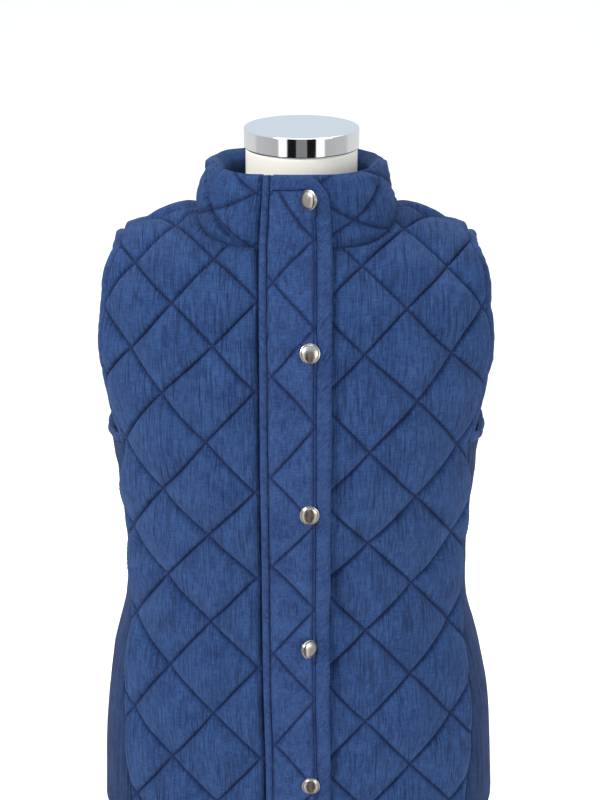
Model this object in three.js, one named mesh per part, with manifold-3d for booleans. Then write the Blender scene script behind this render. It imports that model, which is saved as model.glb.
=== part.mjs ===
// A quilted vest worn by a limbless dress form with a chrome neck cap.
// Millimetres, +Z up, the floor at z = 0, the front of the vest facing -Y.
// The wearer's right is at -X.
import * as THREE from "three";
import Module from "manifold-3d";

const wasm = await Module();
wasm.setup();

// Heights of the vest and of the form that it is worn on
const HEM_Z = 215;
const UNDERARM_Z = 645;
const DOME_Z = 727; // the chest turns in towards the shoulders above this
const RIDGE_Z = 862; // the shoulder line, carried on to the middle of the neck
const RIDGE = { drop: 43, reach: 163, power: 1.55 }; // how far it has come down at its reach
const TIP_X = 158;
const CAP_TOP_Z = 923;
const CAP_HEIGHT = 18;
const CAP_RADIUS = 52.5;
const CAP_CHAMFER = 1;

// The inside of the cloth: a row for each level from the hem up
const LEVELS = [
  { z: 175, half: 203, front: 117, back: 112, middle: -3 },
  { z: 215, half: 203, front: 117, back: 112, middle: -3 },
  { z: 318, half: 197, front: 113, back: 108, middle: -3 },
  { z: 387, half: 186, front: 108, back: 103, middle: -4.5 },
  { z: 450, half: 170, front: 104, back: 97, middle: -5 },
  { z: 514, half: 167, front: 106, back: 95, middle: -5 },
  { z: 575, half: 171, front: 116, back: 99, middle: -5 },
  { z: 633, half: 176, front: 127, back: 106, middle: -5 },
  { z: 690, half: 184, front: 127, back: 108, middle: -5 },
  { z: 727, half: 193, front: 125.5, back: 107, middle: -5 },
];
const RING_POWER = 2.4;
const DOME_POWER = { front: 2.12, back: 2.4 };

// Half the width of the knit side panel, round the body from the side line
const SIDE_SEAM = [
  { z: 215, arc: 88 },
  { z: 318, arc: 71 },
  { z: 410, arc: 54 },
  { z: 450, arc: 43 },
  { z: 514, arc: 40 },
  { z: 585, arc: 48 },
  { z: 615, arc: 62 },
  { z: 645, arc: 76 },
];
const UNDERARM = [
  { share: 0.78, drop: 12 },
  { share: 0.4, drop: 18 },
  { share: 0, drop: 20 },
  { share: -0.4, drop: 18 },
  { share: -0.78, drop: 12 },
];

// The armhole edge of the front and of the back, from the side seam up
const ARMHOLE = [
  { z: 668, x: 164 },
  { z: 690, x: 168 },
  { z: 727, x: 172 },
  { z: 771, x: 171 },
  { z: 794, x: 168 },
  { z: 809, x: 163 },
];

// The neck seam seen from above, and the top edge of the collar
const NECK = { half: 87, front: 80, back: 74, power: 3 };
const COLLAR_TOP = { half: 74, front: 72, back: 66, power: 2.7, frontZ: 896, backZ: 890 };
const COLLAR_TILT = 8; // degrees that the collar's outside faces up
const COLLAR_BELLY = 1;
const COLLAR_SHELL = 4; // the collar has one more cloth than the body
const COLLAR_PUFF = 5;
const COLLAR_CELL = 14;
const COLLAR_RIM_STEPS = 30;

// Cloth and padding
const SEAM_GAP = 0.3; // from a cut edge to the seam line
const SHELL = 3; // two cloths and the padding where a stitch line holds them
const PUFF = 7; // what the padding adds in the middle of a diamond
const KNIT = 2;
const EDGE_EASE = 15; // the puff dies away over this distance from an edge
const MITRE = 20; // the cloth turns into the neck seam over this distance

// The front closing, measured round the body from the centre front
const WELT_OUTER = -32;
const WELT_INNER = -24.6;
const WELT = { rise: 10, steps: 42, gap: 0.4, underlap: 2 };
const BINDING_INNER = 18;
const FLAP_EDGE = 31;
const FLAP_LIFT = 6; // the flap lies this far off the inside of the cloth below
const FLAP_PUFF = 3;
const FLAP_CORNER = 26;
const FLAP_BEND = 16; // the flap bridges the neck seam over this distance
const BINDING_THICK = 4.2;
const BINDING_CELL = 16;
const CORNER_STEPS = 6;
const PRESSED = { share: 0.12, from: 0, to: 16 }; // what is left of the puff under the flap's edge
const SNAP_ACROSS = 12;
const SNAPS = [
  { at: 889, gap: 0.85 },
  { at: 752, gap: 0.75 },
  { at: 600, gap: 0.85 },
  { at: 449, gap: 1.1 }, // over the peak of a diamond
  { at: 298, gap: 0.85 },
];
const SNAP_RADIUS = 9;
const SNAP_SEAT = 13;
const SNAP_SEAT_RISE = 1.5;
const SNAP_SEGMENTS = 18;
const SNAP_PROFILE = [
  { radius: 0, height: 0 },
  { radius: SNAP_RADIUS - 0.3, height: 0 },
  { radius: SNAP_RADIUS, height: 0.9 },
  { radius: 6.6, height: 2.9 },
  { radius: 0, height: 3.9 },
];

// The section of the armhole binding: across the cut edge and out of the cloth
const ARMHOLE_SECTION = [
  { across: 0.4, out: -0.4 },
  { across: 0.4, out: 3.8 },
  { across: 3, out: 5 },
  { across: 5.6, out: 3.8 },
  { across: 6, out: 1.6 },
  { across: 4.8, out: -0.6 },
];

// Diamonds: a crossing of two stitch lines, how far the rows sag towards the side seam
const DIAMOND = { across: 90, up: 98 };
const QUILT = {
  front_right: { s: -37, t: 618, sag: 0.0006, across: 88 },
  front_left: { s: 66, t: 657, sag: 0.0004 },
  back: { s: 0, t: 618, sag: 0.0004 },
  collar: { s: 53, t: 24, sag: 0, across: 84, up: 50, upright: true },
  placket: { s: -22, t: 636, sag: 0, across: 80 },
};
const CELLS = 3; // cells from a crossing to the middle of a diamond
const LINING_CELL = 25;
const KNIT_CELL = 32;
const LEAN = { low: 680, high: 790, share: 0.12 }; // the columns lean to the centre front
const CLOSE_UP = { low: 700, high: 900, by: 30 }; // and the rows close up

// The dress form: half its width, and how much shallower it is than the inside of the cloth
const FORM = [
  { z: 175, half: 188, ease: 14 },
  { z: 318, half: 184, ease: 12 },
  { z: 387, half: 177, ease: 9 },
  { z: 450, half: 162, ease: 6 },
  { z: 514, half: 158, ease: 6 },
  { z: 600, half: 161, ease: 6 },
  { z: 727, half: 163, ease: 6 },
];
const FORM_RIDGE_EASE = 0.9; // the cloth rests on the shoulders
const FORM_NECK_RADIUS = 51;
const FORM_POINTS = 36;
const FORM_HEIGHTS = [
  175, 178, 190, 250, 318, 360, 405, 450, 510, 570, 630, 690, 727, 755, 778, 797,
  811, 822, 832, 841, 849, 856, 863, 904.6,
];
const FORM_FOOT_ROUND = [0.9, 0.965];
const FORM_SEARCH = { farthest: 230, halvings: 26 };
const NECK_BLEND = 8; // how sharply the neck turns into the shoulders
const POLE = { radius: 14, top: 174.6, bottom: 15.1 };
const BASE = { radius: 150, height: 14, chamfer: 3, bossRadius: 20, bossRise: 0.8 };
const TURNED_SEGMENTS = { pole: 24, round: 40 };

const CLOTH = { color: 0x364d7b, roughness: 0.9, metalness: 0 };
const KNIT_CLOTH = { color: 0x38507a, roughness: 0.95, metalness: 0 };
const CHROME = { color: 0xd6dade, roughness: 0.08, metalness: 1 };
const NICKEL = { color: 0xb9b4ad, roughness: 0.3, metalness: 1 };
const LINEN = { color: 0xf1ebde, roughness: 0.9, metalness: 0 };

const vest = new THREE.Group();
const smooth = (low, high, value) => THREE.MathUtils.smoothstep(value, low, high);

function addPiece(name, geometry, look) {
  const mesh = new THREE.Mesh(geometry, new THREE.MeshStandardMaterial(look));
  mesh.name = name;
  vest.add(mesh);
  return mesh;
}

// Tables are read with a smooth curve through their rows.
function readTable(rows, z, key) {
  const last = rows.length - 1;
  const here = THREE.MathUtils.clamp(z, rows[0].z, rows[last].z);
  let i = 0;
  while (i < last - 1 && rows[i + 1].z < here) i += 1;
  const [a, b] = [rows[i], rows[i + 1]];
  const before = rows[Math.max(i - 1, 0)];
  const after = rows[Math.min(i + 2, last)];
  const span = b.z - a.z;
  const k = (here - a.z) / span;
  const slopeA = (i === 0 ? 0 : (b[key] - before[key]) / (b.z - before.z)) * span;
  const slopeB = (i === last - 1 ? 0 : (after[key] - a[key]) / (after.z - a.z)) * span;
  const [k2, k3] = [k * k, k * k * k];
  return (
    (2 * k3 - 3 * k2 + 1) * a[key] +
    (k3 - 2 * k2 + k) * slopeA +
    (3 * k2 - 2 * k3) * b[key] +
    (k3 - k2) * slopeB
  );
}

// A quarter of a superellipse, walked from the end of its first half-axis to the second's.
const WALK_STEPS = 64;
function quarterWalk(first, second, power) {
  const walk = [{ a: first, b: 0, run: 0 }];
  for (let k = 1; k <= WALK_STEPS; k += 1) {
    const angle = ((k / WALK_STEPS) * Math.PI) / 2;
    const a = first * Math.max(Math.cos(angle), 0) ** (2 / power);
    const b = second * Math.sin(angle) ** (2 / power);
    const from = walk[k - 1];
    walk.push({ a, b, run: from.run + Math.hypot(a - from.a, b - from.b) });
  }
  return walk;
}

function onWalk(walk, key, value) {
  const rising = walk[0][key] < walk[WALK_STEPS][key];
  let i = 0;
  while (i < WALK_STEPS - 1 && (rising ? walk[i + 1][key] < value : walk[i + 1][key] > value)) {
    i += 1;
  }
  const [p, q] = [walk[i], walk[i + 1]];
  const k = THREE.MathUtils.clamp((value - p[key]) / (q[key] - p[key]), 0, 1);
  const mix = (name) => p[name] + (q[name] - p[name]) * k;
  return { a: mix("a"), b: mix("b"), run: mix("run") };
}

const ridgeHeight = (x) =>
  RIDGE_Z - RIDGE.drop * (Math.abs(x) / RIDGE.reach) ** RIDGE.power - DOME_Z;
const ringWalk = (side, z) =>
  quarterWalk(readTable(LEVELS, z, side), readTable(LEVELS, z, "half"), RING_POWER);
const quarterLength = (side, z) => ringWalk(side, z)[WALK_STEPS].run;
const facing = (side) => (side === "front" ? -1 : 1);

// A point of the cloth's inside, s round the body from the centre line and t up along it.
function bodyPoint(side, s, t) {
  const level = Math.min(t, DOME_Z);
  const ring = onWalk(ringWalk(side, level), "run", Math.abs(s));
  const x = readTable(LEVELS, level, "middle") + Math.sign(s) * ring.b;
  if (t <= DOME_Z) return new THREE.Vector3(x, facing(side) * ring.a, t);
  const dome = quarterWalk(ring.a, ridgeHeight(ring.b), DOME_POWER[side]);
  const here = onWalk(dome, "run", t - DOME_Z);
  return new THREE.Vector3(x, facing(side) * here.a, DOME_Z + here.b);
}

const shoulderTop = (side, s) => {
  const ring = onWalk(ringWalk(side, DOME_Z), "run", Math.abs(s));
  const dome = quarterWalk(ring.a, ridgeHeight(ring.b), DOME_POWER[side]);
  return DOME_Z + dome[WALK_STEPS].run;
};

// The same inside, where x and z are known (z on the wall), or x and depth y (on the dome).
function flatFromXZ(side, x, z) {
  const s = onWalk(ringWalk(side, Math.min(z, DOME_Z)), "b", x).run;
  if (z <= DOME_Z) return [s, z];
  const ring = onWalk(ringWalk(side, DOME_Z), "run", s);
  const dome = quarterWalk(ring.a, ridgeHeight(x), DOME_POWER[side]);
  return [s, DOME_Z + onWalk(dome, "b", z - DOME_Z).run];
}

function flatFromXY(side, x, y) {
  const ring = onWalk(ringWalk(side, DOME_Z), "b", x);
  const dome = quarterWalk(ring.a, ridgeHeight(x), DOME_POWER[side]);
  return [ring.run, DOME_Z + onWalk(dome, "a", y).run];
}

// Round the side panel: s from the side line, negative towards the front.
function sidePoint(hand, s, t) {
  const side = s < 0 ? "front" : "back";
  return bodyPoint(side, hand * (quarterLength(side, t) - Math.abs(s)), t);
}

// The way out of a surface, from two short steps on it.
const STEP = 3;
function normalOf(point, s, t, flip, top = Infinity) {
  const high = Math.min(t + STEP, top);
  const across = point(s + STEP, t).sub(point(s - STEP, t));
  const up = point(s, high).sub(point(s, high - 2 * STEP));
  return across.cross(up).multiplyScalar(flip).normalize();
}

function bodyNormal(side, s, t) {
  const flip = side === "front" ? 1 : -1;
  return normalOf((a, b) => bodyPoint(side, a, b), s, t, flip, shoulderTop(side, s));
}

// The neck seam from above
const MIDDLE = readTable(LEVELS, DOME_Z, "middle");
function neckRatio(x, y) {
  const depth = y < 0 ? NECK.front : NECK.back;
  return ((Math.abs(x) / NECK.half) ** NECK.power + (Math.abs(y) / depth) ** NECK.power) **
    (1 / NECK.power);
}

function collarWay(x, y) {
  const depth = y < 0 ? NECK.front : NECK.back;
  const way = new THREE.Vector3(
    (Math.sign(x) * Math.abs(x / NECK.half) ** (NECK.power - 1)) / NECK.half,
    (Math.sign(y) * Math.abs(y / depth) ** (NECK.power - 1)) / depth,
    0,
  ).normalize();
  const tilt = THREE.MathUtils.degToRad(COLLAR_TILT);
  return way.multiplyScalar(Math.cos(tilt)).setZ(Math.sin(tilt));
}

// Cloth near the neck seam turns its edge half way to the collar's, so the two meet.
function bodyPlace(side, s, t, out) {
  const point = bodyPoint(side, s, t);
  const way = bodyNormal(side, s, t);
  if (t > DOME_Z) {
    const [x, y] = [point.x - MIDDLE, point.y];
    const away = (neckRatio(x, y) - 1) * Math.hypot(x, y);
    const share = (1 - smooth(0, MITRE, away)) / 2;
    way.lerp(collarWay(x, y), share).normalize();
  }
  return point.addScaledVector(way, out);
}

// The collar: u round the neck from the centre front towards +X, v up from the seam.
const COLLAR_STEPS = 160;
function ovalPoint(oval, angle) {
  const [sin, cos] = [Math.sin(angle), Math.cos(angle)];
  const x = oval.half * Math.sign(sin) * Math.abs(sin) ** (2 / oval.power);
  const depth = cos > 0 ? oval.front : oval.back;
  return [x, -depth * Math.sign(cos) * Math.abs(cos) ** (2 / oval.power)];
}

function ovalWalk(oval) {
  const rows = [];
  let run = 0;
  for (let k = 0; k <= COLLAR_STEPS; k += 1) {
    const [x, y] = ovalPoint(oval, (k / COLLAR_STEPS) * 2 * Math.PI);
    const from = rows[k - 1];
    if (from) run += Math.hypot(x - from.x, y - from.y);
    rows.push({ x, y, run });
  }
  return rows;
}

function onOval(walk, share) {
  const wrapped = ((share % 1) + 1) % 1;
  const run = wrapped * walk[COLLAR_STEPS].run;
  let i = 0;
  while (i < COLLAR_STEPS - 1 && walk[i + 1].run < run) i += 1;
  const k = (run - walk[i].run) / (walk[i + 1].run - walk[i].run);
  return [
    walk[i].x + (walk[i + 1].x - walk[i].x) * k,
    walk[i].y + (walk[i + 1].y - walk[i].y) * k,
  ];
}

const SEAM_WALK = ovalWalk(NECK);
const TOP_WALK = ovalWalk(COLLAR_TOP);
const NECK_ROUND = SEAM_WALK[COLLAR_STEPS].run;

function collarEnds(u) {
  const [x, y] = onOval(SEAM_WALK, u / NECK_ROUND);
  const side = y < 0 ? "front" : "back";
  const [s, t] = flatFromXY(side, Math.abs(x), Math.abs(y));
  const low = bodyPoint(side, Math.sign(x) * s, t);
  const [topX, topY] = onOval(TOP_WALK, u / NECK_ROUND);
  const back = (topY / COLLAR_TOP.front + 1) / 2;
  const topZ = COLLAR_TOP.frontZ + (COLLAR_TOP.backZ - COLLAR_TOP.frontZ) * Math.min(back, 1);
  return { low, high: new THREE.Vector3(topX + MIDDLE, topY, topZ), x, y, side, s, t };
}

const collarHeight = (u) => {
  const { low, high } = collarEnds(u);
  return low.distanceTo(high);
};

function collarPoint(u, v) {
  const { low, high, x, y } = collarEnds(u);
  const share = v / low.distanceTo(high);
  const belly = COLLAR_BELLY * Math.sin(Math.PI * THREE.MathUtils.clamp(share, 0, 1));
  return low.clone().lerp(high, share).addScaledVector(collarWay(x, y), belly);
}

function collarPlace(u, v, out) {
  const { x, y, side, s, t } = collarEnds(u);
  const way = normalOf(collarPoint, u, v, 1);
  const share = 1 - smooth(0, MITRE, v);
  if (share > 0) {
    const seam = bodyNormal(side, Math.sign(x) * s, t).lerp(collarWay(x, y), 0.5).normalize();
    way.lerp(seam, share).normalize();
  }
  return collarPoint(u, v).addScaledVector(way, out);
}

// The front closing runs from the hem over the neck seam to the top of the collar.
const neckTop = (s) => flatFromXY("front", Math.abs(s), neckDepth(s))[1];
function neckDepth(s) {
  return NECK.front * (1 - Math.abs(s / NECK.half) ** NECK.power) ** (1 / NECK.power);
}

function closingPointAt(s, t) {
  const seam = neckTop(s);
  return t < seam ? bodyPoint("front", s, t) : collarPoint(s, t - seam);
}

function closingPoint(s, t) {
  const near = 1 - smooth(FLAP_BEND, 2.5 * FLAP_BEND, Math.abs(t - neckTop(s)));
  if (near === 0) return closingPointAt(s, t);
  const sum = new THREE.Vector3();
  const shifts = [-1, -0.5, 0, 0.5, 1];
  for (const shift of shifts) sum.add(closingPointAt(s, t + shift * FLAP_BEND * near));
  return sum.divideScalar(shifts.length);
}

function closingPlace(s, t, out) {
  return closingPoint(s, t).addScaledVector(normalOf(closingPoint, s, t, 1), out);
}

// Flat pieces: a lattice of points carries the puffs, and the piece's outline cuts it.
const FLAT_TOP = 100; // keeps the outer points apart from the inner ones until they are placed
const FLAT_PUFF = 10; // how far a full puff stands above it
const BELOW_ALL = -50;
const ABOVE_ALL = 200;
const PRISM = { bottom: -150, height: 400 };
const LATTICE_MARGIN = { share: 1.2, cells: 3, up: 40 };
const PLAIN_SHIFT = { s: 1.31, t: 1.27 }; // keeps the plain lattice off the corners of an outline
const FLAT_BOW = 1e-4; // a slight bow, so that no two facets lie in one plane
const bow = (s, t) => FLAT_BOW * (s * s + (t - 500) * (t - 500));

function solidFrom(positions, triangles) {
  const mesh = new wasm.Mesh({
    numProp: 3,
    vertProperties: new Float32Array(positions.flat()),
    triVerts: new Uint32Array(triangles.flat()),
  });
  return new wasm.Manifold(mesh);
}

// A slab with one face on the lattice's points, and one flat face above or below it.
function latticeSlab(columns, rows, vertexAt, flatHeight, slantAt) {
  const wide = columns + 1;
  const count = wide * (rows + 1);
  const positions = [];
  for (let j = 0; j <= rows; j += 1) {
    for (let i = 0; i <= columns; i += 1) positions.push(vertexAt(i, j));
  }
  for (let n = 0; n < count; n += 1) positions.push([positions[n][0], positions[n][1], flatHeight]);
  const triangles = [];
  for (let j = 0; j < rows; j += 1) {
    for (let i = 0; i < columns; i += 1) {
      const [a, b] = [j * wide + i, j * wide + i + 1];
      const [c, d] = [a + wide, b + wide];
      const cell = slantAt(i, j) ? [[a, b, d], [a, d, c]] : [[a, b, c], [b, d, c]];
      for (const [p, q, r] of cell) {
        triangles.push([p, q, r], [p + count, r + count, q + count]);
      }
    }
  }
  const wall = (p, q) => triangles.push([p, p + count, q + count], [p, q + count, q]);
  for (let i = 0; i < columns; i += 1) {
    wall(i, i + 1);
    wall(rows * wide + i + 1, rows * wide + i);
  }
  for (let j = 0; j < rows; j += 1) {
    wall((j + 1) * wide, j * wide);
    wall(j * wide + columns, (j + 1) * wide + columns);
  }
  if (flatHeight === ABOVE_ALL) triangles.forEach((triangle) => triangle.reverse());
  return solidFrom(positions, triangles);
}

// Above the bust the diamonds change a little.
const leanIn = (t) => 1 - LEAN.share * smooth(LEAN.low, LEAN.high, t);
const closeUp = (t) => t - CLOSE_UP.by * smooth(CLOSE_UP.low, CLOSE_UP.high, t);

function quiltedTop(box, quilt) {
  const diamond = { ...DIAMOND, ...quilt };
  const step = { s: diamond.across / (2 * CELLS), t: diamond.up / (2 * CELLS) };
  const { share, cells, up } = LATTICE_MARGIN;
  const low = {
    i: Math.floor((box.min.x * share - quilt.s) / step.s) - cells,
    j: Math.floor((box.min.y - quilt.t) / step.t) - cells,
  };
  const high = {
    i: Math.ceil((box.max.x * share - quilt.s) / step.s) + cells,
    j: Math.ceil((box.max.y + up - quilt.t) / step.t) + cells,
  };
  const vertexAt = (column, row) => {
    const [i, j] = [column + low.i, row + low.j];
    const wave = (k) => Math.abs(Math.sin((Math.PI * k) / (2 * CELLS)));
    const puff = Math.sqrt(wave(i + j) * wave(i - j));
    let [s, t] = [quilt.s + i * step.s, quilt.t + j * step.t];
    if (!quilt.upright) [s, t] = [s * leanIn(t), closeUp(t)];
    t -= quilt.sag * s * s;
    return [s, t, FLAT_TOP + FLAT_PUFF * puff - bow(s, t)];
  };
  const whole = (n) => ((n % (2 * CELLS)) + 2 * CELLS) % (2 * CELLS) === 0;
  const slantAt = (column, row) => !whole(column + low.i + row + low.j + 1);
  return latticeSlab(high.i - low.i, high.j - low.j, vertexAt, BELOW_ALL, slantAt);
}

function plainSide(box, cell, height, flatHeight) {
  const low = { s: box.min.x - cell * PLAIN_SHIFT.s, t: box.min.y - cell * PLAIN_SHIFT.t };
  const columns = Math.ceil((box.max.x - low.s) / cell) + 1;
  const rows = Math.ceil((box.max.y - low.t) / cell) + 1;
  const sign = flatHeight === ABOVE_ALL ? 1 : -1;
  const vertexAt = (i, j) => {
    const [s, t] = [low.s + i * cell, low.t + j * cell];
    return [s, t, height + sign * bow(s, t)];
  };
  return latticeSlab(columns, rows, vertexAt, flatHeight, (i, j) => (i + j) % 2 === 0);
}

function outlinePrism(outline) {
  const shape = new THREE.Shape(outline.map(([s, t]) => new THREE.Vector2(s, t)));
  const geometry = new THREE.ExtrudeGeometry(shape, { depth: PRISM.height, bevelEnabled: false });
  return extrudedSolid(geometry.translate(0, 0, PRISM.bottom));
}

function extrudedSolid(geometry) {
  const positions = [];
  const places = new Map();
  const source = geometry.getAttribute("position");
  const triangles = [];
  for (let n = 0; n < source.count; n += 1) {
    const point = [source.getX(n), source.getY(n), source.getZ(n)];
    const key = point.map((value) => Math.round(value * 1e4)).join();
    if (!places.has(key)) {
      places.set(key, positions.length);
      positions.push(point);
    }
    if (n % 3 === 0) triangles.push([]);
    triangles[triangles.length - 1].push(places.get(key));
  }
  return solidFrom(positions, triangles);
}

function edgeDistance(outline, s, t) {
  let nearest = Infinity;
  outline.forEach(([s1, t1], n) => {
    const [s2, t2] = outline[(n + 1) % outline.length];
    const [ds, dt] = [s2 - s1, t2 - t1];
    const k = THREE.MathUtils.clamp(((s - s1) * ds + (t - t1) * dt) / (ds * ds + dt * dt), 0, 1);
    nearest = Math.min(nearest, Math.hypot(s - s1 - k * ds, t - t1 - k * dt));
  });
  return nearest;
}

// Cuts the flat piece and puts each of its points in its place on the body.
function clothPiece(name, look, cut) {
  const { outline, quilt, place, inner = 0, outerAt } = cut;
  const box = new THREE.Box2().setFromPoints(outline.map(([s, t]) => new THREE.Vector2(s, t)));
  const top = quilt
    ? quiltedTop(box, quilt)
    : plainSide(box, cut.cell ?? LINING_CELL, FLAT_TOP, BELOW_ALL);
  const bottom = plainSide(box, cut.cell ?? LINING_CELL, 0, ABOVE_ALL);
  const flat = top.intersect(bottom).intersect(outlinePrism(outline)).getMesh();
  const position = new Float32Array(flat.numVert * 3);
  for (let n = 0; n < flat.numVert; n += 1) {
    const [s, t, height] = flat.vertProperties.slice(n * flat.numProp, n * flat.numProp + 3);
    let out = inner;
    if (height > FLAT_TOP / 2) {
      const puff = quilt ? Math.max(height - FLAT_TOP + bow(s, t), 0) / FLAT_PUFF : 0;
      const ease = smooth(-0.1, 1, edgeDistance(outline, s, t) / EDGE_EASE);
      out = outerAt(s, t, puff * ease);
    }
    place(s, t, out).toArray(position, n * 3);
  }
  const geometry = new THREE.BufferGeometry();
  geometry.setAttribute("position", new THREE.BufferAttribute(position, 3));
  const index = [...flat.triVerts];
  geometry.setIndex(cut.mirrored ? index.reverse() : index);
  return addPiece(name, geometry, look);
}

// Outlines of the panels
function curvePoints(rows, count) {
  const points = rows.map(([s, t]) => new THREE.Vector3(s, t, 0));
  const curve = new THREE.CatmullRomCurve3(points, false, "centripetal");
  return curve.getPoints(count).map((point) => [point.x, point.y]);
}

const SEAM_STEPS = 18;
const ARMHOLE_STEPS = 17;
const SHOULDER_STEPS = 4;
const NECK_STEPS = 11;
const UNDERARM_STEPS = 12;
const NEAR_CENTRE = 0.5;
const seamArc = (z) => readTable(SIDE_SEAM, z, "arc");

function sideSeamPoints(side) {
  const points = [];
  for (let k = 0; k <= SEAM_STEPS; k += 1) {
    const t = THREE.MathUtils.lerp(HEM_Z, UNDERARM_Z, k / SEAM_STEPS);
    points.push([quarterLength(side, t) - seamArc(t) - SEAM_GAP, t]);
  }
  return points;
}

function armholePoints(side) {
  const seam = quarterLength(side, UNDERARM_Z) - seamArc(UNDERARM_Z) - SEAM_GAP;
  const tip = onWalk(ringWalk(side, DOME_Z), "b", TIP_X).run;
  const rows = ARMHOLE.map(({ x, z }) => flatFromXZ(side, x, z));
  return curvePoints([[seam, UNDERARM_Z], ...rows, [tip, shoulderTop(side, tip)]], ARMHOLE_STEPS);
}

function shoulderPoints(side) {
  const points = [];
  const [from, to] = [TIP_X, NECK.half + 1];
  for (let k = 0; k <= SHOULDER_STEPS; k += 1) {
    const x = THREE.MathUtils.lerp(from, to, k / SHOULDER_STEPS);
    const s = onWalk(ringWalk(side, DOME_Z), "b", x).run;
    points.push([s, shoulderTop(side, s) - SEAM_GAP]);
  }
  return points;
}

function neckPoints(side, lastX) {
  const points = [];
  const oval = { half: NECK.half + SEAM_GAP, power: NECK.power };
  oval.front = NECK[side] + SEAM_GAP;
  oval.back = oval.front;
  for (let k = 1; k < NECK_STEPS; k += 1) {
    const [x, y] = ovalPoint(oval, (Math.PI / 2) * (1 - k / NECK_STEPS));
    if (x > Math.abs(lastX) + 4) points.push(flatFromXY(side, x, Math.abs(y)));
  }
  points.push(flatFromXY(side, Math.abs(lastX), ovalDepth(oval, lastX)));
  return points;
}

const ovalDepth = (oval, x) =>
  oval.front * (1 - Math.abs(x / oval.half) ** oval.power) ** (1 / oval.power);

// Half a panel from the hem at the side seam to the neck, on the wearer's left
function halfOutline(side, lastX) {
  return [
    ...sideSeamPoints(side),
    ...armholePoints(side).slice(1, -1),
    ...shoulderPoints(side),
    ...neckPoints(side, lastX),
  ];
}

const mirrored = (points) => points.map(([s, t]) => [-s, t]).reverse();
const puffedBody = (s, t, puff) => SHELL + PUFF * puff;

function makeFronts() {
  const edge = WELT.gap - WELT_OUTER;
  const right = mirrored([...halfOutline("front", edge), [edge, HEM_Z]]);
  clothPiece("front_right", CLOTH, {
    outline: right,
    quilt: QUILT.front_right,
    place: (s, t, out) => bodyPlace("front", s, t, out),
    outerAt: puffedBody,
  });
  const start = WELT_INNER + WELT.underlap;
  const [, neckStart] = flatFromXY("front", -start, NECK.front + SEAM_GAP);
  const left = [...halfOutline("front", NEAR_CENTRE), [start, neckStart], [start, HEM_Z]];
  clothPiece("front_left", CLOTH, {
    outline: left,
    quilt: QUILT.front_left,
    place: (s, t, out) => bodyPlace("front", s, t, out),
    outerAt: (s, t, puff) => SHELL + PUFF * puff * underFlap(s),
  });
}

// Under the flap the padding is pressed flat.
function underFlap(s) {
  const free = smooth(FLAP_EDGE + PRESSED.from, FLAP_EDGE + PRESSED.to, s);
  return PRESSED.share + (1 - PRESSED.share) * free;
}

function makeBack() {
  const half = halfOutline("back", NEAR_CENTRE);
  const outline = [...half, ...mirrored(half)];
  clothPiece("back", CLOTH, {
    outline,
    mirrored: true,
    quilt: QUILT.back,
    place: (s, t, out) => bodyPlace("back", s, t, out),
    outerAt: puffedBody,
  });
}

// The top of the side panel under the arm, from the front seam to the back seam
function underarmPoints(gap) {
  const arc = seamArc(UNDERARM_Z) - gap;
  const rows = UNDERARM.map(({ share, drop }) => [arc * share, UNDERARM_Z - drop]);
  return curvePoints([[arc, UNDERARM_Z], ...rows, [-arc, UNDERARM_Z]], UNDERARM_STEPS);
}

function makeSidePanels() {
  const edge = sideSeamPoints("front").map(([, t]) => [seamArc(t) - SEAM_GAP, t]);
  const outline = [...edge, ...underarmPoints(SEAM_GAP).slice(1, -1), ...mirrored(edge)];
  for (const [name, hand] of [["side_panel_right", -1], ["side_panel_left", 1]]) {
    clothPiece(name, KNIT_CLOTH, {
      outline: hand > 0 ? outline : mirrored(outline),
      cell: KNIT_CELL,
      place: (s, t, out) => {
        const point = (a, b) => sidePoint(hand, hand * a, b);
        return point(s, t).addScaledVector(normalOf(point, s, t, 1), out);
      },
      outerAt: () => KNIT,
    });
  }
}

function makeCollar() {
  const [from, to] = [WELT_INNER + WELT.underlap, NECK_ROUND + WELT_OUTER - WELT.gap];
  const rim = [];
  for (let k = 0; k <= COLLAR_RIM_STEPS; k += 1) {
    const u = THREE.MathUtils.lerp(to, from, k / COLLAR_RIM_STEPS);
    rim.push([u, collarHeight(u)]);
  }
  clothPiece("collar", CLOTH, {
    outline: [[from, SEAM_GAP], [to, SEAM_GAP], ...rim],
    quilt: QUILT.collar,
    cell: COLLAR_CELL,
    place: collarPlace,
    outerAt: (u, v, puff) => COLLAR_SHELL + COLLAR_PUFF * puff * underFlap(u),
  });
}

// The flap: a quilted strip with a rounded top corner, bound along its free edge
const closingTop = () => neckTop(0) + collarHeight(0);

function cornerPoints(edge, top) {
  const points = [];
  const radius = FLAP_CORNER + edge - FLAP_EDGE;
  for (let k = 0; k <= CORNER_STEPS; k += 1) {
    const angle = ((k / CORNER_STEPS) * Math.PI) / 2;
    const s = edge - radius + radius * Math.cos(angle);
    points.push([s, top - radius + radius * Math.sin(angle)]);
  }
  return points;
}

function snapSeat(s, t, puff) {
  const near = SNAPS.some(({ at }) => Math.hypot(s - SNAP_ACROSS, t - at) < SNAP_SEAT);
  return near ? SNAP_SEAT_RISE : FLAP_PUFF * puff;
}

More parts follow.
